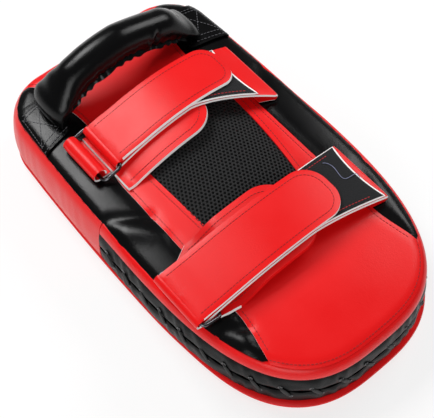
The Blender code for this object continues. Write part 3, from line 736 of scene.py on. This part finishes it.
def window_loop(shrink):
    """The rounded opening for the mesh, bowed out on the right, drawn in by shrink."""
    top, bottom = WINDOW_TOP - shrink, WINDOW_BOTTOM + shrink
    wide, narrow, corner = (size - shrink for size in (WINDOW_WIDE, WINDOW_NARROW, WINDOW_CORNER))
    loop = []
    for quarter, (x, y) in enumerate(((wide, top), (-wide, top), (-narrow, bottom), (narrow, bottom))):
        middle_x, middle_y = x - math.copysign(corner, x), y - corner if quarter < 2 else y + corner
        loop += arc(middle_x, middle_y, corner, quarter * QUARTER, (quarter + 1) * QUARTER, 9)
    bowed = []
    for x, y in dense(loop, 0.006):
        bow = WINDOW_BOW * max(0.0, 1 - ((y - BOW_Y) / BOW_REACH) ** 2) if x > 0 else WINDOW_SHIFT
        bowed.append((x + bow * min(1.0, abs(x) / 0.03), y))
    return bowed


handle_end = sorted((p for p in border_loop if p[1] > head_y + 0.0005), reverse=True)
round_end = sorted(p for p in border_loop if p[1] < tip_y - 0.0005)
red_loop = handle_end + [(-panel_edge(y), y) for y in edge_run]
red_loop += round_end + [(panel_edge(y), y) for y in edge_run[::-1]]
centre = cut_sheet(
    "centre_back_panel", [red_loop, window_loop(0.0)], PANEL_GRID,
    lambda x, y: back_height(x, y) + LAP_LIFT, PANEL_DEPTH, [red_leather, raw_edge],
)
# The white backing shows only along the two long edges, not at the ends or round the window.
for edge in centre.data.polygons:
    x, y = edge.center[:2]
    if y < tip_y + 0.002 or y > head_y or abs(x) < panel_edge(y) - 0.003:
        edge.material_index = 0
window_loop(0.0)
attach(centre, "pad")
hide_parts("centre_panel")


# Mesh forearm bed
# A thin foam cushion under open warp-knit air mesh, set in the window; the knit has six-sided holes
# 3.4 mm apart, lies over a black backing cloth and is caught under the red frame's stitching.
CUSHION_RISE, CUSHION_SUNK, CUSHION_GRID, CUSHION_DEPTH = 0.0042, 0.0006, 0.0040, 0.0022
UNDER_NET, UNDER_FRAME = 0.0012, 0.002


def bed_height(x, y):
    """Crown of the cushion, drawn down to its edge."""
    middle, half = (WINDOW_TOP + WINDOW_BOTTOM) / 2, (WINDOW_TOP - WINDOW_BOTTOM) / 2
    reach = max(abs(x) / WINDOW_WIDE, abs(y - middle) / half)
    return back_height(x, y) + CUSHION_RISE * max(0.0, 1 - reach**3) - CUSHION_SUNK


# Air mesh yarn: charcoal with a faint sheen, so the knit stands out from the dull black cloth behind it.
mesh_yarn = grained("black_air_mesh_knit", ["#0C0C0E"], 0.75, "Voronoi", 0.769, 0.7, 0.0005, sheen=0.1)
backing = grained("black_backing_cloth", ["#070708"], 0.95, "Noise", 0.556, 0.5, 0.0004)
bed = cut_sheet(
    "forearm_cushion", [window_loop(-UNDER_FRAME)], CUSHION_GRID,
    lambda x, y: bed_height(x, y) - UNDER_NET, CUSHION_DEPTH, [backing],
)
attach(bed, "pad")
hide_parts("mesh_foam")

CELL, NET_Y, NET_SUNK, NET_EDGE, SLOPE_STEP = 0.0034, 0.010, 0.0003, 0.0015, 0.002
HOLE_RADIUS, YARN_RADIUS, HOLE_SIDES = 0.52 * CELL, 0.16 * CELL, 6
net_edge = [window_loop(-NET_EDGE)]
cell_places, cell_facings = [], []
for row in range(-24, 25):
    for column in range(-18, 19):
        x = (column + 0.5 * (row % 2)) * CELL
        y = NET_Y + row * CELL * math.sqrt(3) / 2
        if inside_loops(net_edge, x, y):
            cell_places.append((x, y, bed_height(x, y) - NET_SUNK))
            fall_x = bed_height(x - SLOPE_STEP, y) - bed_height(x + SLOPE_STEP, y)
            fall_y = bed_height(x, y - SLOPE_STEP) - bed_height(x, y + SLOPE_STEP)
            cell_facings.append((fall_x, fall_y, 2 * SLOPE_STEP))
net = rings("air_mesh_net", cell_places, cell_facings, HOLE_RADIUS, YARN_RADIUS, HOLE_SIDES, mesh_yarn)
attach(net, "pad")
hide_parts("mesh_cover")


# Stitching
# Lockstitch in bonded thread, dark red on the red leather and grey on the black, 3 mm a stitch.
# Each run is a row of short rounded stitches that a node tree lays in the leather along a seam line.
stitch_values = (("Pitch", "Float"), ("Half length", "Float"), ("Half width", "Float"))
stitch_run, given = start_tree("stitch_run", stitch_values)
seam_curve = add_node(stitch_run, "GeometryNodeMeshToCurve", {"Mesh": given["Geometry"]})
spread = {"Curve": seam_curve.outputs["Curve"], "Length": given["Pitch"]}
spots = add_node(stitch_run, "GeometryNodeCurveToPoints", spread, mode="LENGTH").outputs
bead = add_node(stitch_run, "GeometryNodeMeshIcoSphere", {"Radius": 1.0, "Subdivisions": 2}).outputs["Mesh"]
halves = {"X": given["Half length"], "Y": given["Half width"], "Z": given["Half width"]}
stitch_size = {"Scale": add_node(stitch_run, "ShaderNodeCombineXYZ", halves).outputs["Vector"]}
set_on_points(stitch_run, given, spots["Points"], bead, spots["Tangent"], "X", stitch_size)


def thread(name, code):
    """Bonded polyester sewing thread: dull, with a twist too fine to show but for its sparkle."""
    return grained(name, [code], 0.55, "Noise", 0.4, 1.0, 0.0002)


dark_red_thread = thread("dark_red_thread", "#A00A10")
grey_thread = thread("grey_thread", "#5A5A5E")
blue_grey_thread = thread("blue_grey_thread", "#8488A8")
red_thread = thread("red_thread", "#C01018")


STITCH_PITCH, STITCH_HALF, THREAD_HALF = 0.0030, 0.00125, 0.00032


def sew(name, lines, material):
    """Stitches along lines of 3-D points, as one plain mesh."""
    points, edges = [], []
    for line in lines:
        start = len(points)
        points += line
        edges += [(start + k, start + k + 1) for k in range(len(line) - 1)]
    settings = {"Pitch": STITCH_PITCH, "Half length": STITCH_HALF, "Half width": THREAD_HALF}
    return grow(name, points, edges, stitch_run, {**settings, "Material": material})


SEAM_IN, FRAME_SEAM, FRAME_STEP, SEAM_LIFT = 0.0035, 0.0040, 0.004, 0.0009
panel_lines = []
for side in (-1, 1):
    panel_lines.append([(side * (panel_edge(y) - SEAM_IN), y) for y in edge_run if y > tip_y + 0.004])
frame_line = dense(window_loop(-FRAME_SEAM), FRAME_STEP)
panel_lines.append(frame_line + frame_line[:1])
panel_lines.append([(p[0] * 0.980, p[1] * 0.987) for p in round_end])
panel_seams = sew(
    "centre_panel_stitching",
    [[(x, y, back_height(x, y) + SEAM_LIFT) for x, y in line] for line in panel_lines],
    dark_red_thread,
)
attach(panel_seams, "pad")


# Grip handle
# A tube of black leather stuffed with foam, arched over the handle end; its long seam is left as a
# puckered welt under the grip, and each foot is flattened on to a tab sewn down with a crossed box.
HANDLE_Y, FOOT_Z, SPAN, ARCH, GRIP_HALF = 0.132, 0.0722, 0.072, 0.0995, 0.0146


# How each end of the grip is shaped: its foot widened and thinned, its tip pressed down, and its sag.
LEFT_END = {"wider": 0.0054, "thinner": 0.0040, "pressed": 0.0062, "sag": 0.0, "belly": 0.0}
RIGHT_END = {"wider": 0.0030, "thinner": 0.0086, "pressed": 0.0016, "sag": 0.0046, "belly": 0.0058}
FOOT_FROM, FOOT_RUN, TIP_FROM = 0.55, 0.37, 0.90


def grip_at(t):
    """Place, half width and half thickness of the grip from its left foot (-1) to its right one (1)."""
    reach = abs(t)
    end = LEFT_END if t < 0 else RIGHT_END
    x = SPAN * math.copysign(reach**0.92, t)
    z = FOOT_Z + (ARCH - FOOT_Z) * (1 - reach**2.2) ** 0.9
    foot = smooth(clamp((reach - FOOT_FROM) / FOOT_RUN))
    pressed = end["pressed"] * max(0.0, (reach - TIP_FROM) / (1 - TIP_FROM)) ** 2
    z -= end["sag"] * foot + end["belly"] * math.sin(math.pi * reach) + pressed
    return x, z, GRIP_HALF + end["wider"] * foot, GRIP_HALF - end["thinner"] * foot - pressed


# Pinches across the grip: where along it, and how deep.
PINCHES = ((0.37, 0.0036), (0.30, -0.0016), (-0.36, 0.0008), (-0.80, 0.0008))
PINCH_WIDTH, PUCKER, CREASE, GRIP_SIDES, GRIP_RINGS = 0.022, 0.0007, 0.0007, 48, 121
grip_loops = []
for t in np.linspace(-1, 1, GRIP_RINGS):
    x, z, wide, thin = grip_at(t)
    x0, z0 = grip_at(max(-1, t - 0.01))[:2]
    x1, z1 = grip_at(min(1, t + 0.01))[:2]
    run = Vector((x1 - x0, 0, z1 - z0)).normalized()
    up = Vector((-run.z, 0, run.x))
    loop = []
    for k in range(GRIP_SIDES):
        angle = 2 * math.pi * k / GRIP_SIDES
        hold = max(0.0, math.sin(angle + 0.9))
        pucker = PUCKER * math.sin(t * 62 + 2 * math.sin(t * 17)) * max(0.0, -math.sin(angle + 0.5)) ** 2
        crease = CREASE * math.sin(t * 34 + angle * 2) * (abs(t) ** 3) * hold
        for spot, deep in PINCHES:
            near_spot = math.exp(-(((t - spot + 0.03 * math.sin(angle * 2)) / PINCH_WIDTH) ** 2))
            crease -= deep * near_spot * max(0.0, math.sin(angle - 2.0)) ** 3
        swell = 1 + (pucker + crease) / GRIP_HALF
        point = Vector((x, HANDLE_Y, z)) + up * (thin * math.sin(angle) * swell)
        point.y += wide * math.cos(angle) * swell
        loop.append(point)
    grip_loops.append(loop)
grip = loft("grip_sleeve", grip_loops, black_leather)
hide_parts("handle_sleeve", "handle_foam")
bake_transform(grip)

slant, side_on = Vector((0, -0.80, -0.60)), Vector((0, 0.60, -0.80))
WELT_REACH, WELT_SUNK, WELT_HEIGHT, WELT_WAVE, WELT_RUFFLE = 0.80, 0.97, 0.0036, 0.0008, 0.0005
welt_loops = []
for t in np.linspace(-WELT_REACH, WELT_REACH, 150):
    x, z, wide, thin = grip_at(t)
    base = Vector((x, HANDLE_Y, z)) + Vector((0, slant.y * wide, slant.z * thin)) * WELT_SUNK
    ruffle = WELT_RUFFLE * math.sin(t * 47 + 2.2 * math.sin(t * 19))
    tip = base + slant * (WELT_HEIGHT + WELT_WAVE * math.sin(t * 39 + 2.6 * math.sin(t * 11)))
    middle = (base + tip) / 2 + side_on * ruffle
    ridge = ((base, 0.0011), (middle, 0.0009), (tip + side_on * ruffle, 0.0006))
    loop = [point + side_on * half for point, half in ridge]
    welt_loops.append(loop + [point - side_on * half for point, half in ridge[::-1]])
welt = loft("grip_welt", welt_loops, black_leather)
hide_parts("handle_welt")
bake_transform(welt)

# Each tab's outer edge follows the border; its inner corners, sewn box and two rows are listed below.
TAB_FROM, TAB_LOW, TAB_HIGH, TAB_IN, TAB_LIFT, TAB_DEPTH = 0.070, 0.102, 0.154, 0.0004, 0.0026, 0.0022
TAB_GRID, TAB_PILLOW, TAB_SEAM_LIFT = 0.0028, 0.0006, 0.0034
TAB_CORNERS = ((0.061, 0.111), (0.061, 0.152))
TAB_BOX = ((0.0730, 0.1175), (0.0940, 0.1120), (0.0910, 0.1425), (0.0730, 0.1460))
TAB_ROWS = (((0.0690, 0.1130), (0.0945, 0.1065)), ((0.0690, 0.1495), (0.0880, 0.1462)))
tab_lines = []
for name, node, side in (
    ("left_grip_tab", "left_handle_tab", -1),
    ("right_grip_tab", "right_handle_tab", 1),
):
    outer = [p for p in border_loop if p[0] * side > TAB_FROM and TAB_LOW < p[1] < TAB_HIGH]
    if side == 1:
        outer.reverse()
    loop = [(x - side * TAB_IN, y) for x, y in outer] + [(side * x, y) for x, y in TAB_CORNERS]
    tab = cut_sheet(
        name, [loop], TAB_GRID, lambda x, y: back_height(x, y) + TAB_LIFT, TAB_DEPTH, [black_leather],
        pillow=TAB_PILLOW,
    )
    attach(tab, "pad")
    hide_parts(node)
    crossed_box = [[TAB_BOX[k] for k in run] for run in ((0, 1, 2, 3, 0), (0, 2), (1, 3))]
    for line in (*crossed_box, *TAB_ROWS):
        tab_lines.append([(side * x, y) for x, y in line])
drawn = []
for line in tab_lines:
    run = []
    for p, q in zip(line, line[1:]):
        run += between(p, q, max(2, round(math.dist(p, q) / STITCH_PITCH)))
    run.append(line[-1])
    drawn.append([(x, y, back_height(x, y) + TAB_SEAM_LIFT) for x, y in run])
tab_stitches = sew("grip_tab_stitching", drawn, grey_thread)
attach(tab_stitches, "pad")


# Forearm straps
# Each strap is two layers of red leather over white cloth, sewn in along the red panel's right edge,
# folded up and back over the arm, passed round a wire ring at the left and closed on itself.
# Loop tape: a soft matt pile, near black. Nickel-plated wire: dark grey metal with sharp glints.
loop_tape = grained(
    "black_loop_tape", ["#050506", "#17181C"], 1.0, "Noise", 0.833, 0.8, 0.0006, detail=4.0, sheen=0.08,
)
nickel = grained("nickel_plated_wire", ["#5E5D61"], 0.22, "Noise", 1.43, 0.05, 0.0002, metallic=1.0)
strap_leather = [red_leather, raw_edge]
STRAP, PATCH, TONGUE, KEEPER = 0.0020, 0.0010, 0.0030, 0.0018
WIRE, PLAY, FOLD, GAP = 0.0015, 0.0012, 0.0025, 0.0003
TONGUE_LIFT, RING_PAST, RING_CORNER, RING_SIDES = 0.0009, 0.0026, 0.004, 14
SQUARE_RUN, FLAP_EASE, STITCH_STEP, ROOT_IN, ROOT_START = 0.024, 0.026, 0.003, 0.012, 0.0665
WIDENS_FROM, WIDENS_POWER, KEEPER_TURN, TAIL_RUN, TAIL_FALL = 0.012, 1.3, math.radians(290), 0.008, 0.0012
TAPE_GRID, FLAP_GRID, HOOK_GRID, TONGUE_GRID = 0.0034, 0.0030, 0.0050, 0.0032
TAPE_IN, TAPE_SEAM, FLAP_SEAM, TONGUE_SEAM, HOOK_IN = 0.0012, 0.0045, 0.0045, 0.005, 0.004
FRAY, EDGE_THIN, EDGE_RUN = 0.0007, 0.00035, 0.0012


def ribbon(name, path, reach, depth, across=14):
    """A strap along a path in x and z; reach gives its two y edges, where the white backing shows."""
    path = [Vector(p) for p in path]
    over, under = [], []
    for k, point in enumerate(path):
        run = path[min(k + 1, len(path) - 1)] - path[max(k - 1, 0)]
        up = Vector((-run.y, run.x)).normalized()
        low, high = reach[k]
        for n in range(across + 1):
            share = n / across
            y = low + (high - low) * share
            edge = min(y - low, high - y)
            half = depth / 2 - EDGE_THIN * math.exp(-edge / EDGE_RUN)
            fray = FRAY * ((n == across) - (n == 0))
            over.append((point.x + up.x * half, y + fray, point.y + up.y * half))
            under.append((point.x - up.x * half, y, point.y - up.y * half))
    faces, slots = shell_faces(len(path) - 1, across, edge_slot=1)
    return show(name, over + under, faces, strap_leather, slots)


def sweep_tube(name, path, radius, material, sides, closed=False):
    """A round wire or thread along a path, kept untwisted."""
    path = [Vector(p) for p in path]
    count = len(path)
    turns = [2 * math.pi * n / sides for n in range(sides)]
    loops = []
    side = None
    for k in range(count):
        ahead = path[(k + 1) % count] if closed or k < count - 1 else path[k]
        behind = path[k - 1] if closed or k else path[k]
        run = (ahead - behind).normalized()
        side = run.orthogonal() if side is None else side - run * side.dot(run)
        side.normalize()
        other = run.cross(side)
        spokes = [side * (radius * math.cos(t)) + other * (radius * math.sin(t)) for t in turns]
        loops.append([path[k] + spoke for spoke in spokes])
    return loft(name, loops, material, closed)


def tongue_shape(x0, x1, y0, y1, corner, taper=(0.0, 0.0)):
    """Loop of a strap end: its far corners rounded, its near end square or drawn in by the taper."""
    loop = [(x0, y0 + taper[0]), (x0 + SQUARE_RUN, y0)]
    loop += arc(x1 - corner, y0 + corner, corner, -QUARTER, 0, 12)
    loop += arc(x1 - corner, y1 - corner, corner, 0, QUARTER, 12)
    return loop + [(x0 + SQUARE_RUN, y1), (x0, y1 - taper[1])]


# Each strap's sizes: the y edges of its pieces, its ring's two bars in x (bar_x under the flap, held_x in
# the keeper), the fold at its root, how far it rises over the arm, and the ends of its flap and tongue.
for prefix, strap in (
    (
        "upper",
        {
            "flap_y": (0.0545, 0.0965), "root_y": (0.0265, 0.0915), "tongue_y": (0.0350, 0.0955),
            "keeper_y": (0.0575, 0.0970), "keeper_loop": 0.0055, "bar_x": -0.0590, "held_x": -0.0765,
            "fold_x": 0.0785, "rise": 0.0130, "flap_end": 0.0640, "corner": 0.016,
            "tongue_start": -0.0655, "tongue_end": 0.0260, "tongue_climb": 0.012, "tongue_tail": -0.0655,
            "tongue_taper": (0.0, 0.0), "tape_end": 0.0655, "flap_ledge": 0.0011,
        },
    ),
    (
        "lower",
        {
            "flap_y": (-0.0905, -0.0425), "root_y": (-0.1000, -0.0400), "tongue_y": (-0.0960, -0.0310),
            "keeper_y": (-0.0870, -0.0460), "keeper_loop": 0.0027, "bar_x": -0.0975, "held_x": -0.0800,
            "fold_x": 0.0790, "rise": 0.0110, "flap_end": 0.0500, "corner": 0.020,
            "tongue_start": -0.0655, "tongue_end": 0.0240, "tongue_climb": 0.030, "tongue_tail": -0.0880,
            "tongue_taper": (0.0055, 0.0118), "tape_end": 0.0780, "flap_ledge": 0.0004,
        },
    ),
):
    bar_x, held_x, fold_x = strap["bar_x"], strap["held_x"], strap["fold_x"]
    flap_low, flap_high = strap["flap_y"]
    middle_y = (flap_low + flap_high) / 2
    span = fold_x - bar_x
    wrap = WIRE + PLAY + STRAP / 2
    round_bar = WIRE + GAP + KEEPER / 2
    root = panel_edge(middle_y) - ROOT_IN
    low_leg = plain_back(root, middle_y) + 2 * GAP + STRAP / 2
    high_leg = low_leg + 2 * FOLD
    held_z = plain_back(strap["tongue_start"], middle_y) + 2 * GAP + KEEPER / 2 + round_bar
    near_y = min(abs(y) for y in strap["tongue_y"])
    over_tongue = plain_back(bar_x, near_y) + TONGUE_LIFT + GAP + TONGUE + STRAP / 2
    held_share = max(0.0, (held_x - bar_x) / span)
    climb = strap["rise"] * 4 * held_share * (1 - held_share)
    over_keeper = held_z + round_bar + KEEPER / 2 + 2 * GAP + STRAP / 2 - climb
    start_z = max(over_tongue, over_keeper) if held_x > bar_x else over_tongue
    bar_z = start_z + wrap

    def base_z(x):
        """Height of the strap's base over the arm."""
        share = (x - bar_x) / span
        rise = strap["rise"] * 4 * share * (1 - share)
        return start_z + (high_leg - start_z) * smooth(share) + rise

    def flap_z(x):
        """Height of the closing flap, easing from the fold down on to the base."""
        ease = smooth(clamp((x - bar_x) / FLAP_EASE))
        return base_z(x) + 2 * wrap * (1 - ease) + (3 * GAP + 2 * PATCH + STRAP) * ease

    def base_reach(x):
        """The two y edges of the base, widening toward its root."""
        share = clamp((x - WIDENS_FROM) / (fold_x - WIDENS_FROM)) ** WIDENS_POWER
        return (
            flap_low * (1 - share) + strap["root_y"][0] * share,
            flap_high * (1 - share) + strap["root_y"][1] * share,
        )

    def tongue_z(x):
        """Height of the comfort tongue under the base."""
        under = STRAP / 2 + GAP + TONGUE / 2
        begin = strap["tongue_start"]
        rest = plain_back(max(begin, bar_x), near_y) + TONGUE_LIFT + TONGUE / 2
        if x < begin:
            fall = TAIL_FALL * min(1.0, (begin - x) / TAIL_RUN)
            return rest - fall - plain_back(begin, near_y) + plain_back(x, near_y)
        ease = smooth(clamp((x - begin) / strap["tongue_climb"]))
        return min(rest * (1 - ease) + (base_z(x) - under) * ease, base_z(max(x, bar_x)) - under)

    # base with its two folds
    path = [(x, low_leg) for x in np.linspace(ROOT_START, fold_x, 6)]
    path += arc(fold_x, low_leg + FOLD, FOLD, -QUARTER, QUARTER, 13)[1:-1]
    path += [(x, base_z(x)) for x in np.linspace(fold_x, bar_x, 60)]
    path += arc(bar_x, bar_z, wrap, -QUARTER, -3 * QUARTER, 17)[1:]
    base = ribbon(prefix + "_strap", path, [base_reach(x) for x, _ in path], STRAP)
    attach(base, "pad")
    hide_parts(prefix + "_strap_base")

    # loop tape, sewn on all over the top of the base with red thread
    tape_end = strap["tape_end"]
    tape_run = np.linspace(tape_end, bar_x + FLAP_EASE, 40)
    tape_loop = [(x, base_reach(x)[0] + TAPE_IN) for x in tape_run[::-1]]
    low, high = base_reach(tape_end)
    for t in np.linspace(-0.9, 0.9, 15):
        tape_loop.append((tape_end - 0.004 * (1 - t * t), (low + high) / 2 + t * (high - low) / 2))
    tape_loop += [(x, base_reach(x)[1] - TAPE_IN) for x in tape_run]
    lift = STRAP / 2 + GAP + PATCH
    tape = cut_sheet(
        prefix + "_loop_tape", [tape_loop], TAPE_GRID, lambda x, y: base_z(x) + lift, PATCH,
        [loop_tape, raw_edge], ledge=lambda x, y: 0.0009 + 0.0008 * max(0.0, x),
    )
    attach(tape, "pad")
    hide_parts(prefix + "_loop_patch")
    tape_lines = []
    for side, inset in ((0, TAPE_SEAM), (1, -TAPE_SEAM)):
        tape_lines.append([(x, base_reach(x)[side] + inset, base_z(x) + lift) for x in tape_run[3:]])
    tape_stitches = sew(prefix + "_tape_stitching", tape_lines, red_thread)
    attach(tape_stitches, "pad")

    # a loose tail of blue-grey thread caught on the lower tape
    if prefix == "lower":
        tail_path = []
        for t in np.linspace(0, 1, 60):
            x = 0.0745 - 0.0160 * t + 0.0030 * math.sin(9 * t)
            y = -0.0790 + 0.0260 * t + 0.0040 * math.sin(7 * t + 1)
            tail_path.append((x, y, base_z(x) + lift + 0.0004 + 0.0006 * math.sin(5 * t) ** 2))
        loose = sweep_tube("loose_thread_tail", tail_path, 0.00022, blue_grey_thread, 6)
        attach(loose, "pad")

    # closing flap with its line of stitches
    tip, corner = strap["flap_end"], strap["corner"]
    flap = cut_sheet(
        prefix + "_flap", [tongue_shape(bar_x, tip, flap_low, flap_high, corner)], FLAP_GRID,
        lambda x, y: flap_z(x) + STRAP / 2 - 0.0003, STRAP - 0.0002, strap_leather,
        pillow=0.0004, pillow_width=0.0015, ledge=lambda x, y: strap["flap_ledge"] * max(0.0, -y),
    )
    # the leather is whole where the flap goes on from the fold
    for edge in flap.data.polygons:
        if edge.center.x < bar_x + 0.0015:
            edge.material_index = 0
    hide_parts(prefix + "_strap_flap")
    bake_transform(flap)
    turn_in = corner - 0.004
    sewn = (flap_low + FLAP_SEAM, flap_high - FLAP_SEAM)
    seam = tongue_shape(bar_x + 0.002, tip - 0.005, *sewn, turn_in)
    seam = [(x, y) for x, y in dense(seam, STITCH_STEP) if x > bar_x + 0.0025]
    seam = [(x, y, flap_z(x) + STRAP / 2 + 0.0002) for x, y in seam]
    flap_stitches = sew(prefix + "_flap_stitching", [seam], dark_red_thread)
    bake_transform(flap_stitches)

    # hook tape under the flap
    hook_loop = tongue_shape(bar_x + 0.030, tip - 0.006, flap_low + HOOK_IN, flap_high - HOOK_IN, turn_in)
    hook = cut_sheet(
        prefix + "_hook_tape", [hook_loop], HOOK_GRID, lambda x, y: flap_z(x) - STRAP / 2 - 0.0002,
        PATCH, [loop_tape],
    )
    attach(hook, prefix + "_flap")
    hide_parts(prefix + "_hook_patch")

    # wire ring
    unit = Vector((bar_x - held_x, bar_z - held_z))
    reach_out = unit.length
    unit.normalize()
    ring_low, ring_high = flap_low - RING_PAST, flap_high + RING_PAST
    ring_path = []
    for share, y, inward, lengthwise, quarter in (
        (0, ring_low, 1, 1, 2),
        (1, ring_low, -1, 1, 3),
        (1, ring_high, -1, -1, 0),
        (0, ring_high, 1, -1, 1),
    ):
        corner_u, corner_y = share * reach_out + inward * RING_CORNER, y + lengthwise * RING_CORNER
        for u, y_at in arc(corner_u, corner_y, RING_CORNER, quarter * QUARTER, (quarter + 1) * QUARTER, 7):
            ring_path.append((held_x + unit.x * u, y_at, held_z + unit.y * u))
    ring = sweep_tube(prefix + "_wire_ring_round", ring_path, WIRE, nickel, RING_SIDES, closed=True)
    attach(ring, prefix + "_wire_ring")
    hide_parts(prefix + "_ring")

    # keeper loop that holds the ring
    bow = strap["keeper_loop"]
    path = [(x, held_z - round_bar) for x in np.linspace(strap["tongue_start"] - 0.0012, held_x, 5)]
    path += arc(held_x, held_z - round_bar + bow, bow, -QUARTER, -QUARTER - KEEPER_TURN, 25)[1:]
    keeper = ribbon(prefix + "_keeper_loop", path, [strap["keeper_y"]] * len(path), KEEPER)
    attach(keeper, "pad")
    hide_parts(prefix + "_keeper")

    # comfort tongue under the strap
    low, high = strap["tongue_y"]
    begin, finish, tail = strap["tongue_start"], strap["tongue_end"], strap["tongue_tail"]
    taper = strap["tongue_taper"]
    tongue = cut_sheet(
        prefix + "_comfort_tongue_skin",
        [tongue_shape(tail, finish, low, high, (high - low) * 0.40, taper)], TONGUE_GRID,
        lambda x, y: tongue_z(x) + TONGUE / 2 - 0.0003, TONGUE - 0.0006, strap_leather,
        pillow=0.0003, ledge=lambda x, y: 0.0008,
    )
    # the lower tongue's edge toward the round end shows no backing
    for edge in tongue.data.polygons:
        if prefix == "lower" and edge.center.y < middle_y and edge.center.x > begin:
            edge.material_index = 0
    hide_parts(prefix + "_tongue")
    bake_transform(tongue)
    sewn = (finish - TONGUE_SEAM, low + TONGUE_SEAM, high - TONGUE_SEAM)
    seam = tongue_shape(tail, *sewn, (high - low) * 0.36, taper)
    seam = [(x, y) for x, y in dense(seam, STITCH_STEP) if x > tail + 0.003]
    seam = [(x, y, tongue_z(x) + TONGUE / 2 + 0.0001) for x, y in seam]
    tongue_stitches = sew(prefix + "_tongue_stitching", [seam], dark_red_thread)
    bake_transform(tongue_stitches)
